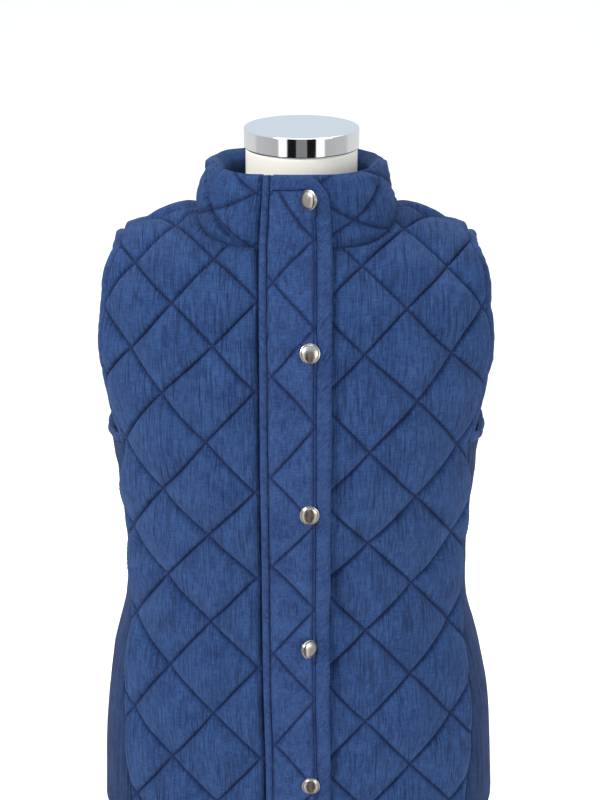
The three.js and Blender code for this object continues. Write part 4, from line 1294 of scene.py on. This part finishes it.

# %% [markdown]
# ## The flap over the closing
# The flap is a quilted strip with a rounded corner and a bound edge. A second row of stitches
# runs up beside the binding's seam. Cloth never hangs quite straight between two snaps, so the
# free edge lifts away from the front here and there. These lifts are listed: a height, a
# reach up and down, and how far the edge stands off.

# %% Flap and its binding
FLAP_LIFT = 6
FLAP_PUFF = 3
FLAP_CORNER = 26
FLAP_CELLS = 44
BIAS_EDGE = {
    "thick": 4.2, "round": 4, "thin": 0.45, "under": 0.6, "wrinkle": 0.28, "wide": 7, "long": 14,
    "step": 1.5,
}
SNAP_ACROSS = 12
SNAP_HEIGHTS = (889, 752, 600, 449, 298)
SNAP_SEAT = (7, 17)  # level out to the first distance, padded as ever from the second
SNAP_SEAT_RISE = 1.5
LIFT_FROM = 2  # across the flap
LIFTS = ((330, 30, 2.0), (423, 20, 9.0), (517, 20, 9.5), (680, 50, 1.4), (824, 26, 1.2))
TOPSTITCH = {
    "s": 15.3, "wide": 0.9, "deep": 0.9, "clear": 2.3, "side": 1.1, "step": 1.6, "stagger": 0.7,
    "from_hem": 2,
}


def flap_wave(s, t):
    reach = smooth(LIFT_FROM, FLAP_EDGE, s)
    return sum(out * np.exp(-(((t - at) / wide) ** 2)) for at, wide, out in LIFTS) * reach


def corner(edge, top, count=18):
    radius = FLAP_CORNER + edge - FLAP_EDGE
    angle = np.linspace(0, math.pi / 2, count)
    return np.stack([edge - radius + radius * np.cos(angle), top - radius + radius * np.sin(angle)], 1)


def near_snap(s, t):
    away = [np.hypot(s - SNAP_ACROSS, t - height) for height in SNAP_HEIGHTS]
    return 1 - smooth(*SNAP_SEAT, np.minimum.reduce(away))


def with_seam(grid, low, high):
    """A grid with three columns of points along the row of topstitches."""
    seam, side = TOPSTITCH["s"], TOPSTITCH["side"]
    t = np.arange(low, high, TOPSTITCH["step"])
    up = TOPSTITCH["stagger"] * side
    columns = [(seam - side, up), (seam, 0), (seam + side, up)]
    columns = [np.stack([np.full(len(t), s), t + up], axis=1) for s, up in columns]
    return np.concatenate([grid[np.abs(grid[:, 0] - seam) > TOPSTITCH["clear"]], *columns])


def topstitched(s):
    return np.exp(-(((s - TOPSTITCH["s"]) / TOPSTITCH["wide"]) ** 2))


# The flap's mask of painted groove shade: its quilting lines and the row of topstitches.
def flap_groove_shade(s, t):
    return np.maximum(groove_shade_on(QUILT["placket"])(s, t), topstitched(s))


def flap_wall(s, t, edge):
    base = quilted_wall(QUILT["placket"], SEEDS["flap"], puff=FLAP_PUFF)
    _, outer = base(s, t, edge)
    outer = mix(outer, SHELL + SNAP_SEAT_RISE, near_snap(s, t)) - TOPSTITCH["deep"] * topstitched(s)
    lift = FLAP_LIFT + flap_wave(s, t)
    return lift, lift + outer


def binding_wall(s, t, edge):
    rim = rounded(edge, BIAS_EDGE["round"])
    sizes = (BIAS_EDGE["wide"], BIAS_EDGE["long"])
    wrinkle = soft_noise(s + t, t - s, *sizes, SEEDS["bias_edge"])
    thick = BIAS_EDGE["thick"] + BIAS_EDGE["wrinkle"] * wrinkle
    lift = FLAP_LIFT + flap_wave(s, t)
    thick = thick * (BIAS_EDGE["thin"] + (1 - BIAS_EDGE["thin"]) * rim)
    return lift + BIAS_EDGE["under"] * (1 - rim), lift + thick


def sew_flap():
    width = FLAP_EDGE - BINDING_INNER
    inner, left = BINDING_INNER - SEAM_GAP, WELT_INNER + SEAM_GAP
    top = CLOSING_TOP - width
    flap = [(left, HEM_Z), (inner, HEM_Z), *corner(inner, top - SEAM_GAP), (left, top - SEAM_GAP)]
    grid = quilted_grid(QUILT["placket"], flap, FLAP_CELLS, FIRM_CROWD)
    PANELS["placket"] = sew_panel("flap_cloth", {
        "outline": flap,
        "grid": with_seam(grid, HEM_Z + TOPSTITCH["from_hem"], top - FLAP_CORNER),
        "wall": flap_wall,
        "sewn": flap_groove_shade,
        "place": closing_place,
        "material": MATERIALS["flap_cloth"],
    })
    inner = BINDING_INNER + SEAM_GAP
    binding = np.array([
        (inner, HEM_Z), (FLAP_EDGE, HEM_Z), *corner(FLAP_EDGE, CLOSING_TOP), (left, CLOSING_TOP),
        (left, top + SEAM_GAP), *corner(inner, top + SEAM_GAP)[::-1],
    ])
    PANELS["placket_binding"] = sew_panel("flap_binding", {
        "outline": binding,
        "grid": plain_grid(binding, BIAS_EDGE["step"]),
        "wall": binding_wall,
        "place": closing_place,
        "material": MATERIALS["bias_cloth"],
    })
    return np.array(flap)


FLAP_CUT = sew_flap()

# %% [markdown]
# ## Piping and armhole bindings
# Both are narrow tubes of bias cloth along a path. A tube is a round section carried along the
# path on two directions: out of the cloth and across the edge. The armhole binding rises and
# falls with the puffs beside it, which gives the armhole its scalloped look.

# %% Strips along a path
STRIP_WIDTH = 22  # the flat width of the cloth that is wrapped round a strip
PIPING = {
    "rows": 420, "sides": 20, "power": 2.5, "across": 0, "out": 5.0,
    "uneven_wide": 0.12, "wide_long": 9, "uneven_high": 0.35, "high_long": 28,
}
BINDING = {
    "sides": 16, "power": 2.0, "across": 3.1, "out": 1.5, "wide": 4.5, "high": 2.4,
    "gather_wide": 0.5, "gather_high": 0.35, "gather_rows": 2.5, "puff_high": 0.6,
    "settle": 4,
}
GATHER_PITCH = 4.2  # the underarm's edge is drawn up in small folds


def tube_faces(rows, count, closed):
    """The faces between rings of points, with flat ends on an open tube."""
    faces = []
    for k in range(rows if closed else rows - 1):
        here, following = k * count, ((k + 1) % rows) * count
        for n in range(count):
            m = (n + 1) % count
            faces.append((here + n, here + m, following + m, following + n))
    if not closed:
        last = (rows - 1) * count
        faces += [tuple(range(count))[::-1], tuple(range(last, last + count))]
    return faces


def strip_piece(name, points, outs, acrosses, section, closed):
    """Sweeps a section, given as steps across and out, along a path of points."""
    body = points[:, None] + acrosses[:, None] * section[..., :1] + outs[:, None] * section[..., 1:]
    faces = tube_faces(len(points), section.shape[1], closed)
    round_way = np.linspace(0, STRIP_WIDTH, section.shape[1])
    flat = np.broadcast_arrays(round_way[None], line_run(points)[:, None])
    flat = np.stack(flat, axis=-1).reshape(-1, 2)
    return mesh_piece(name, body.reshape(-1, 3), faces, MATERIALS["bias_cloth"], flat)


def round_section(look, half_wide, half_high):
    """An oval section for each row of a strip: steps across and out of its middle."""
    angle = np.linspace(0, 2 * math.pi, look["sides"], endpoint=False)
    cos, sin = np.cos(angle), np.sin(angle)
    across = half_wide[:, None] * np.sign(cos) * np.abs(cos) ** (2 / look["power"])
    out = half_high[:, None] * np.sign(sin) * np.abs(sin) ** (2 / look["power"])
    return np.stack([across + look["across"], out + look["out"]], axis=-1)


def sew_piping():
    middle, half = (WELT_OUTER + WELT_INNER) / 2, (WELT_INNER - WELT_OUTER) / 2
    t = np.linspace(HEM_Z, CLOSING_TOP, PIPING["rows"])
    s = np.full(len(t), middle)
    points = closing_point(s, t)
    acrosses = (closing_point(s + STEP, t) - closing_point(s - STEP, t)) / (2 * STEP)
    across = line_noise(t, PIPING["wide_long"], SEEDS["piping_across"])
    out = line_noise(t, PIPING["high_long"], SEEDS["piping_out"])
    wide = half - SEAM_GAP + PIPING["uneven_wide"] * across
    high = PIPING["out"] + PIPING["uneven_high"] * out
    section = round_section(PIPING, wide, high)
    return strip_piece("piping", points, way_out(closing_point, s, t), acrosses, section, False)


def armhole_path(hand):
    """Points and ways out round one armhole, and the puff of the panel beside each."""
    points, outs, puffs = [], [], []

    def add(place, way, puff):
        points.append(place)
        outs.append(way)
        puffs.append(puff)

    for side in ("front", "back"):
        edge = armhole(side, hand)
        edge = edge[1:] if side == "front" else edge[::-1][1:-1]
        s, t = hand * edge[:, 0], edge[:, 1]
        puff = puff_height(quilt_on(side, hand), s - hand * SCALLOP["beside"], t)
        add(body_point(side, s, t), body_out(side, s, t), puff)
    under = underarm(0)

    def point(a, b):
        return side_point(hand, hand * np.asarray(a), b)

    s, t = hand * under[:, 0], under[:, 1]
    add(point(s, t), way_out(point, s, t), 0.5 + 0.5 * np.sin(s / GATHER_PITCH))
    return [np.concatenate(part) for part in (points, outs, puffs)]


def sew_armhole_bindings():
    for name, hand in (("right", -1), ("left", 1)):
        points, outs, puffs = armhole_path(hand)
        along = np.roll(points, -1, axis=0) - np.roll(points, 1, axis=0)
        acrosses = unit(np.cross(along, outs)) * hand
        for _ in range(BINDING["settle"]):
            puffs = (np.roll(puffs, 1) + puffs + np.roll(puffs, -1)) / 3
        rows = len(points)
        gather = line_noise(np.arange(rows), BINDING["gather_rows"], SEEDS["gather"] + hand)
        wide = BINDING["wide"] + BINDING["gather_wide"] * gather
        high = BINDING["high"] + BINDING["puff_high"] * puffs + BINDING["gather_high"] * gather
        section = round_section(BINDING, wide, high)
        section[..., 1] += puffs[:, None]
        if hand < 0:
            section = section[:, ::-1]
        piece = strip_piece(f"armhole_{name}_binding", points, outs, acrosses, section, True)
        PANELS["armhole_binding_" + name] = piece


PANELS["placket_piping"] = sew_piping()
sew_armhole_bindings()
print("cloth pieces:", len(PANELS))

# %% [markdown]
# ## Stitches
# A stitch is a tiny grain of thread. Geometry Nodes put one every few millimetres along each
# stitch line: the lines become curves, the curves are cut into even steps, and a small stretched
# ball stands on each step, turned along the line. Instances are realized, because an exported
# model can't hold them.

# %% Stitch tree
STITCH = {"Pitch": 4.2, "Long": 1.6, "Thick": 0.5}


def modifier_input(tree, name):
    return next(item.identifier for item in tree.interface.items_tree if item.name == name)


def new_shape_tree(name, inputs):
    """A Geometry Nodes tree, the sockets of its inputs and its output node."""
    tree = bpy.data.node_groups.new(name, "GeometryNodeTree")
    for key, kind in (("Geometry", "Geometry"), *inputs):
        tree.interface.new_socket(key, in_out="INPUT", socket_type="NodeSocket" + kind)
    tree.interface.new_socket("Geometry", in_out="OUTPUT", socket_type="NodeSocketGeometry")
    return tree, tree.nodes.new("NodeGroupInput").outputs, tree.nodes.new("NodeGroupOutput")


def finish_tree(tree, result, copies, material):
    """Makes the copies real, gives them their material and ends the tree."""
    solid = add_node(tree, "GeometryNodeRealizeInstances", {0: copies.outputs[0]})
    finish = {"Geometry": solid.outputs[0], "Material": material}
    solid = add_node(tree, "GeometryNodeSetMaterial", finish)
    tree.links.new(solid.outputs[0], result.inputs[0])
    return tree


def make_stitch_tree():
    inputs = [("Pitch", "Float"), ("Long", "Float"), ("Thick", "Float"), ("Thread", "Material")]
    tree, values, result = new_shape_tree("stitches_on_lines", inputs)
    curve = add_node(tree, "GeometryNodeMeshToCurve", {"Mesh": values["Geometry"]})
    steps = add_node(tree, "GeometryNodeResampleCurve", {"Curve": curve.outputs[0]}, mode="LENGTH")
    tree.links.new(values["Pitch"], steps.inputs["Length"])
    tangent = add_node(tree, "GeometryNodeInputTangent")
    turn = {"Vector": tangent.outputs[0]}
    turn = add_node(tree, "FunctionNodeAlignRotationToVector", turn, axis="X")
    ball = add_node(tree, "GeometryNodeMeshUVSphere", {"Segments": 5, "Rings": 4, "Radius": 1.0})
    size = add_node(tree, "ShaderNodeCombineXYZ", {0: values["Long"], 1: values["Thick"]})
    tree.links.new(values["Thick"], size.inputs[2])
    grains = {
        "Points": steps.outputs[0],
        "Instance": ball.outputs[0],
        "Rotation": turn.outputs[0],
        "Scale": size.outputs[0],
    }
    grains = add_node(tree, "GeometryNodeInstanceOnPoints", grains)
    return finish_tree(tree, result, grains, values["Thread"])


STITCH_TREE = make_stitch_tree()


def shape_piece(name, mesh, tree, values):
    """A piece whose plain mesh is what a tree makes of the given mesh."""
    piece = bpy.data.objects.new(name, mesh)
    bpy.context.collection.objects.link(piece)
    modifier = piece.modifiers.new(tree.name, "NODES")
    modifier.node_group = tree
    for key, value in values.items():
        modifier[modifier_input(tree, key)] = value
    graph = bpy.context.evaluated_depsgraph_get()
    made = bpy.data.meshes.new_from_object(piece.evaluated_get(graph))
    piece.modifiers.clear()
    piece.data = made
    made.shade_smooth()
    return piece


def stitch_piece(name, lines):
    """Stitches along lines of places in millimetres."""
    points, edges = [], []
    for line in lines:
        start = len(points)
        points += (np.asarray(line) * MM).tolist()
        edges += [(start + k, start + k + 1) for k in range(len(line) - 1)]
    mesh = bpy.data.meshes.new(name)
    mesh.from_pydata(points, edges, [])
    sizes = {key: size * MM for key, size in STITCH.items()}
    piece = shape_piece(name, mesh, STITCH_TREE, {**sizes, "Thread": MATERIALS["navy_thread"]})
    print(name, "has", len(piece.data.polygons), "faces")
    return piece


# %% [markdown]
# The quilting lines are where one of the two counts is a whole number. Each line is walked in
# small steps, and the parts of it that lie inside the cut are laid on the cloth.

# %% Quilting thread
THREAD = {"step": 0.05, "clear": 2.5, "from_edge": 20.0, "out": 0.1}


def inside_runs(points, outline, clear):
    """The stretches of a line that lie well inside an outline."""
    inside, distance = edge_facts(np.asarray(outline), points[:, 0], points[:, 1])
    good = inside & (distance > clear)
    runs, current = [], []
    for point, keep in zip(points, good):
        if keep:
            current.append(point)
        elif current:
            runs.append(np.array(current))
            current = []
    if current:
        runs.append(np.array(current))
    return [run for run in runs if len(run) > 2]


def quilting_lines(quilt, outline, wall, place):
    outline = even_border(outline)[::2]
    low, high = outline.min(axis=0), outline.max(axis=0)
    corners = [(s, t) for s in (low[0], high[0]) for t in (low[1], high[1])]
    counts = [stitch_steps(quilt, np.array([s]), np.array([t]))[:2] for s, t in corners]
    first = int(np.floor(np.min(counts))) - 1
    last = int(np.ceil(np.max(counts))) + 1
    steps = np.arange(first, last, THREAD["step"])
    lines = []
    for whole in range(first, last + 1):
        for a, b in ((np.full(len(steps), whole), steps), (steps, np.full(len(steps), whole))):
            s, t = lattice_place(quilt, a.astype(float), b.astype(float))
            for run in inside_runs(np.stack([s, t], axis=1), outline, THREAD["clear"]):
                _, out = wall(run[:, 0], run[:, 1], np.full(len(run), THREAD["from_edge"]))
                lines.append(place(run[:, 0], run[:, 1], out + THREAD["out"]))
    return lines


quilting = []
for key, side, cut, pressed in (
    ("front_right", "front", RIGHT_CUT, None),
    ("front_left", "front", LEFT_CUT, under_flap),
    ("back", "back", BACK_CUT, None),
):
    wall = quilted_wall(QUILT[key], SEEDS[key], pressed)
    quilting += quilting_lines(QUILT[key], cut, wall, body_place(side))
quilting += quilting_lines(QUILT["placket"], FLAP_CUT, flap_wall, closing_place)
PANELS["quilting_thread"] = stitch_piece("quilting_thread", quilting)

# %% [markdown]
# ## Snaps
# Four snaps show, and a fifth lies below the picture's edge. Each is a shallow nickel dome with
# a thin rolled rim. The profile is turned once, and Geometry Nodes stand a copy on each snap's
# place, facing out of the flap. The cloth pulls most of them askew.

# %% Turned pieces
def turned_mesh(name, profile, segments):
    """A profile of radius and height, turned about Z, with single points on the axis."""
    points, rings = [], []
    for radius, height in profile:
        if radius < 1e-6:
            rings.append([len(points)])
            points.append((0.0, 0.0, height))
            continue
        angles = [2 * math.pi * k / segments for k in range(segments)]
        rings.append(list(range(len(points), len(points) + segments)))
        points += [(radius * math.cos(angle), radius * math.sin(angle), height) for angle in angles]
    faces = []
    for low, high in zip(rings, rings[1:]):
        for k in range(segments):
            m = (k + 1) % segments
            if len(low) == 1:
                faces.append((low[0], high[m], high[k]))
            elif len(high) == 1:
                faces.append((low[k], low[m], high[0]))
            else:
                faces.append((low[k], low[m], high[m], high[k]))
    mesh = bpy.data.meshes.new(name)
    mesh.from_pydata((np.array(points) * MM).tolist(), [], faces)
    mesh.shade_smooth()
    return mesh


def arc(centre, radius, start, end, count):
    """Part of a circle in a profile, by its angles in degrees."""
    angles = np.radians(np.linspace(start, end, count))
    return [(centre[0] + radius * math.cos(a), centre[1] + radius * math.sin(a)) for a in angles]


# %% Snap caps
SNAP_RADIUS = 9
SNAP_SIDES = 40
SNAP_CAP = {
    "rim": 0.6, "rim_end": 75, "rim_points": 8, "dome_radius": 8.1, "dome_from": 1.0,
    "dome_rise": 2.8, "dome_angle": 1.5, "dome_points": 14,
}
SNAP_AIR = 0.2
SNAP_STAND = 0.6  # how much of its tilt a cap stands on, the rest sinks into the cloth
SNAP_TURNS = (-38, 0, 0, 32, 0)  # degrees to the side, as pressed snaps sit
SNAP_TIPS = (0, 16, 18, 12, 0)  # and upwards


def snap_profile():
    rim, radius = SNAP_CAP["rim"], SNAP_CAP["dome_radius"]
    centre = (SNAP_RADIUS - rim, rim)
    rim = arc(centre, rim, -90, SNAP_CAP["rim_end"], SNAP_CAP["rim_points"])
    low, rise = SNAP_CAP["dome_from"], SNAP_CAP["dome_rise"]
    angles = np.linspace(SNAP_CAP["dome_angle"], 0, SNAP_CAP["dome_points"])
    dome = [(radius * math.sin(angle), low + rise * math.cos(angle)) for angle in angles]
    return [(0, 0), *rim, *dome]


def make_snap_tree():
    inputs = [("Cap", "Object"), ("Nickel", "Material")]
    tree, values, result = new_shape_tree("snaps_on_flap", inputs)
    cap = add_node(tree, "GeometryNodeObjectInfo", {"Object": values["Cap"]})
    facing = add_node(tree, "GeometryNodeInputNamedAttribute", {"Name": "facing"})
    facing.data_type = "FLOAT_VECTOR"
    turn = {"Vector": facing.outputs[0]}
    turn = add_node(tree, "FunctionNodeAlignRotationToVector", turn, axis="Z")
    caps = {
        "Points": values["Geometry"],
        "Instance": cap.outputs["Geometry"],
        "Rotation": turn.outputs[0],
    }
    caps = add_node(tree, "GeometryNodeInstanceOnPoints", caps)
    return finish_tree(tree, result, caps, values["Nickel"])


def snap_places():
    """Where each cap stands and which way it faces."""
    t = np.array(SNAP_HEIGHTS, float)
    s = np.full(len(t), float(SNAP_ACROSS))
    outs = way_out(closing_point, s, t)
    lift = FLAP_LIFT + SHELL + SNAP_SEAT_RISE + flap_wave(s, t) + SNAP_AIR
    turns, tips = np.tan(np.radians(SNAP_TURNS)), np.tan(np.radians(SNAP_TIPS))
    places = closing_point(s, t) + outs * lift[:, None]
    places += outs * (SNAP_RADIUS * np.hypot(turns, tips) * SNAP_STAND)[:, None]
    return places, unit(outs + np.stack([turns, 0 * t, tips], axis=1))


def make_snaps():
    places, facing = snap_places()
    mesh = bpy.data.meshes.new("snap_caps")
    mesh.from_pydata((places * MM).tolist(), [], [])
    attribute = mesh.attributes.new("facing", "FLOAT_VECTOR", "POINT")
    attribute.data.foreach_set("vector", facing.ravel())
    cap = bpy.data.objects.new("one_cap", turned_mesh("one_cap", snap_profile(), SNAP_SIDES))
    bpy.context.collection.objects.link(cap)
    values = {"Cap": cap, "Nickel": MATERIALS["nickel_cap"]}
    piece = shape_piece("snap_caps", mesh, make_snap_tree(), values)
    bpy.data.objects.remove(cap)
    return piece


SNAPS = make_snaps()
print("snaps:", len(SNAP_HEIGHTS), "with", len(SNAPS.data.polygons), "faces")

# %% [markdown]
# ## The dress form
# The form is the body that the cloth was drawn round, made smaller: it stays clear of the cloth,
# by just under a millimetre at the shoulders that carry it. It has no arms, and its neck is a
# plain cylinder that flows into the shoulders. Its cap, pole and round foot are turned pieces.

# %% Form
FORM = [
    {"z": 175, "half": 188, "ease": 14},
    {"z": 318, "half": 184, "ease": 12},
    {"z": 387, "half": 177, "ease": 9},
    {"z": 450, "half": 162, "ease": 6},
    {"z": 514, "half": 158, "ease": 6},
    {"z": 600, "half": 161, "ease": 6},
    {"z": 727, "half": 163, "ease": 6},
]
RIDGE_EASE = 0.9
FORM_NECK_RADIUS = 51
FORM_TOP = 904.6
FORM_POINTS = 128
FORM_ROWS = 60
FORM_SPANS = ((200, 760), (765, FORM_TOP))
FORM_FAR = 230  # no part of the form reaches this far
NECK_BLEND = 8
HALVINGS = 26
FOOT_ROUND = 12


def inside_form(x, y, z):
    level = np.minimum(z, DOME_Z)
    half = read_table(FORM, level, "half")
    front = y < 0
    depth = np.where(front, read_table(LEVELS, level, "front"), read_table(LEVELS, level, "back"))
    depth = depth - read_table(FORM, level, "ease")
    power = np.where(front, DOME_POWER["front"], DOME_POWER["back"])
    wide = np.clip(1 - (np.abs(x) / half) ** RING_POWER, 0, 1) ** (1 / RING_POWER)
    share = np.clip((z - DOME_Z) / (ridge_height(x) - RIDGE_EASE), 0, 1)
    wall = depth * wide * (1 - share**power) ** (1 / power)
    return (np.abs(x) < half) & (np.abs(y) < wall)


def form_reach(angle, z):
    """How far the form reaches from its middle, found by halving."""
    near, far = np.zeros_like(angle), np.full_like(angle, FORM_FAR)
    for _ in range(HALVINGS):
        middle = (near + far) / 2
        inside = inside_form(middle * np.sin(angle), -middle * np.cos(angle), z)
        near, far = np.where(inside, middle, near), np.where(inside, far, middle)
    return near


def make_form():
    low = LEVELS[0]["z"]
    foot = low + FOOT_ROUND * (1 - np.cos(np.linspace(0, math.pi / 2, 8)))
    rows = (np.linspace(*span, FORM_ROWS) for span in FORM_SPANS)
    heights = np.concatenate([foot, *rows])
    angle, z = np.meshgrid(np.linspace(0, 2 * math.pi, FORM_POINTS, endpoint=False), heights)
    neck = np.where(z > DOME_Z, FORM_NECK_RADIUS, 0)
    reach = (form_reach(angle, z) ** NECK_BLEND + neck**NECK_BLEND) ** (1 / NECK_BLEND)
    tuck = np.clip(1 - (z - low) / FOOT_ROUND, 0, 1)
    reach = reach - FOOT_ROUND * (1 - np.sqrt(1 - tuck**2))
    middle = read_table(LEVELS, z, "middle") * (1 - smooth(DOME_Z, RIDGE_Z, z))
    points = np.stack([middle + reach * np.sin(angle), -reach * np.cos(angle), z], axis=-1)
    faces = tube_faces(len(heights), FORM_POINTS, False)
    return mesh_piece("form_body", points.reshape(-1, 3), faces, MATERIALS["form_linen_cloth"])


def turned_piece(name, profile, segments, material):
    mesh = turned_mesh(name, profile, segments)
    mesh.materials.append(material)
    piece = bpy.data.objects.new(name, mesh)
    bpy.context.collection.objects.link(piece)
    return piece


FORM_BODY = make_form()

# %% Cap, pole and foot
CAP = {"top": 923, "height": 18, "radius": 52.5, "bevel": 1.2, "flat": 0.4}
POLE = {"radius": 14, "top": 174.6, "bottom": 15.1}
FOOT = {"radius": 150, "height": 14, "round": 4, "boss": 20, "boss_height": 0.8}
TURNED_SIDES = 128
POLE_SIDES = 64


def make_cap():
    low, high, edge = CAP["top"] - CAP["height"], CAP["top"], CAP["bevel"]
    inner, flat = CAP["radius"] - edge, CAP["flat"]
    lower = [(inner - flat, low), *arc((inner, low + edge), edge, -90, 0, 6)]
    upper = [*arc((inner, high - edge), edge, 0, 90, 6), (inner - flat, high)]
    wall = [(CAP["radius"], low + edge + flat), (CAP["radius"], high - edge - flat)]
    profile = [(0, low), *lower, *wall, *upper, (0, high)]
    return turned_piece("neck_cap_chrome", profile, TURNED_SIDES, MATERIALS["chrome_plate"])


def make_pole():
    radius = POLE["radius"]
    profile = [(0, POLE["bottom"]), (radius, POLE["bottom"]), (radius, POLE["top"]), (0, POLE["top"])]
    return turned_piece("pole_chrome", profile, POLE_SIDES, MATERIALS["chrome_plate"])


def make_foot():
    high, bend = FOOT["height"], FOOT["round"]
    rim = arc((FOOT["radius"] - bend, high - bend), bend, 0, 90, 8)
    top = high + FOOT["boss_height"]
    profile = [(0, 0), (FOOT["radius"], 0), *rim, (FOOT["boss"], high), (FOOT["boss"], top), (0, top)]
    return turned_piece("foot_chrome", profile, TURNED_SIDES, MATERIALS["chrome_plate"])


STAND = {"neck_cap": make_cap(), "pole": make_pole(), "base_plate": make_foot()}

# %% [markdown]
# ## The studio
# The background is a pale floor that runs back out of sight, under a white sky. Polished metal
# is only as good as what it mirrors, so mirror-like rays look past the floor and see a room
# instead: grey walls, two lamps and two dark gaps on the camera's side, by their direction round
# the form, and a pale blue ceiling.

# %% Floor, room and lamps
FLOOR = {"radius": 12.0, "sides": 96, "below": 0.0005, "glow": 0.35}
FLOOR_GREYS = ((246, 246, 246), (252, 252, 252))
ROOM = [
    (0.0, 0.24), (0.055, 0.26), (0.062, 0.01), (0.155, 0.01), (0.165, 1.3), (0.25, 1.3),
    (0.265, 0.5), (0.55, 0.58), (0.59, 0.75), (1.0, 0.8),
]
WALL_TINT = (1, 0.985, 0.96)
CEILING = (0.71, 0.78, 0.85, 1)
CEILING_FROM = 0.35
CEILING_LEAN = 0.3  # it starts lower behind the form
SKY_LIGHT = (0.66, 0.68, 0.71, 1)
SKY_SEEN = (1.1, 1.1, 1.1, 1)
LAMPS = (
    {"name": "key", "at": (-1.9, -1.5, 2.7), "size": 0.9, "watts": 62},
    {"name": "fill", "at": (2.0, -1.9, 1.5), "size": 1.6, "watts": 17},
    {"name": "top", "at": (0.2, 0.9, 2.8), "size": 1.4, "watts": 24},
)
LAMPS_AIM = (0, 0, 0.6)


def make_floor():
    count, radius = FLOOR["sides"], FLOOR["radius"]
    angles = [2 * math.pi * k / count for k in range(count)]
    mesh = bpy.data.meshes.new("floor")
    ring = [(radius * math.cos(a), radius * math.sin(a), -FLOOR["below"]) for a in angles]
    mesh.from_pydata(ring, [], [tuple(range(count))])
    floor = bpy.data.objects.new("floor", mesh)
    tree, shader = new_material("pale_floor")
    place = add_node(tree, "ShaderNodeTexCoord").outputs["Object"]
    grain = noise_node(tree, place, 3.0, 2.0)
    pale = coloured(tree, grain, *FLOOR_GREYS)
    tree.links.new(pale, shader.inputs["Base Color"])
    shader.inputs["Roughness"].default_value = 0.9
    shader.inputs["Emission Color"].default_value = (1, 1, 1, 1)
    shader.inputs["Emission Strength"].default_value = FLOOR["glow"]
    unseen = add_node(tree, "ShaderNodeBsdfTransparent")
    mirrored_rays = add_node(tree, "ShaderNodeLightPath").outputs["Is Glossy Ray"]
    finish = {0: mirrored_rays, 1: shader.outputs[0], 2: unseen.outputs[0]}
    finish = add_node(tree, "ShaderNodeMixShader", finish)
    tree.links.new(finish.outputs[0], tree.nodes["Material Output"].inputs["Surface"])
    mesh.materials.append(MATERIALS["pale_floor"])
    bpy.context.collection.objects.link(floor)


def make_room():
    world = bpy.data.worlds.new("studio")
    bpy.context.scene.world = world
    world.use_nodes = True
    tree = world.node_tree
    way = add_node(tree, "ShaderNodeTexCoord").outputs["Generated"]
    parts = add_node(tree, "ShaderNodeSeparateXYZ", {0: way})
    ahead = math_node(tree, "MULTIPLY", parts.outputs[1], -1.0)
    turn = math_node(tree, "ARCTAN2", parts.outputs[0], ahead)
    turn = math_node(tree, "DIVIDE", math_node(tree, "ABSOLUTE", turn), math.pi)
    ramp = add_node(tree, "ShaderNodeValToRGB", {0: turn})
    stops = ramp.color_ramp.elements
    for position, _ in ROOM[1:-1]:
        stops.new(position)
    for stop, (position, grey) in zip(stops, ROOM):
        stop.position = position
        stop.color = (*(grey * share for share in WALL_TINT), 1)
    lower_behind = math_node(tree, "MULTIPLY", parts.outputs[1], CEILING_LEAN)
    height = math_node(tree, "ADD", parts.outputs[2], lower_behind)
    up = math_node(tree, "GREATER_THAN", height, CEILING_FROM)
    rays = add_node(tree, "ShaderNodeLightPath").outputs
    sky = mixed(tree, up, ramp.outputs[0], CEILING)
    sky = mixed(tree, rays["Is Glossy Ray"], SKY_LIGHT, sky)
    sky = mixed(tree, rays["Is Camera Ray"], sky, SKY_SEEN)
    tree.links.new(sky, tree.nodes["Background"].inputs[0])


def make_lamps():
    target = Vector(LAMPS_AIM)
    for lamp in LAMPS:
        data = bpy.data.lights.new(lamp["name"], "AREA")
        data.energy, data.size = lamp["watts"], lamp["size"]
        light = bpy.data.objects.new(lamp["name"], data)
        light.location = lamp["at"]
        light.rotation_euler = (target - light.location).to_track_quat("-Z", "Y").to_euler()
        bpy.context.collection.objects.link(light)


make_floor()
make_room()
make_lamps()
print("lamps:", len(LAMPS))

# %% [markdown]
# ## Where each piece goes
# Every piece rides on the part's one body and takes the place of its solid, which is hidden.
# The quilted panels, the bindings and the piping are padded cloth, the knit panels thin sheets,
# and the form a hard linen body.

# %% Frame calls
PADDED = [
    {"slot": "quilted_cloth", "fill": 0.5, "nodes": ["front_right", "front_left", "back"]},
    {"slot": "quilted_cloth", "fill": 0.6, "nodes": ["collar"]},
    {"slot": "quilted_cloth", "fill": 0.3, "nodes": ["placket"]},
    {"slot": "binding_cloth", "fill": 0.3, "nodes": ["placket_binding"]},
    {"slot": "binding_cloth", "fill": 0.8, "nodes": [
        "placket_piping", "armhole_binding_right", "armhole_binding_left"]},
]


def stands_for(piece, slot, *nodes):
    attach(piece, "root")
    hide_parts(*nodes)


for row in PADDED:
    for node in row["nodes"]:
        stands_for(PANELS[node], row["slot"], node)
for node in ("side_panel_right", "side_panel_left"):
    stands_for(PANELS[node], "side_knit", node)

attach(PANELS["quilting_thread"], "root")
stands_for(SNAPS, "snap_metal", *[f"snap_{k + 1}" for k in range(len(SNAP_HEIGHTS))])
stands_for(FORM_BODY, "form_linen", "form_torso")
for node, piece in STAND.items():
    stands_for(piece, "form_chrome", node)
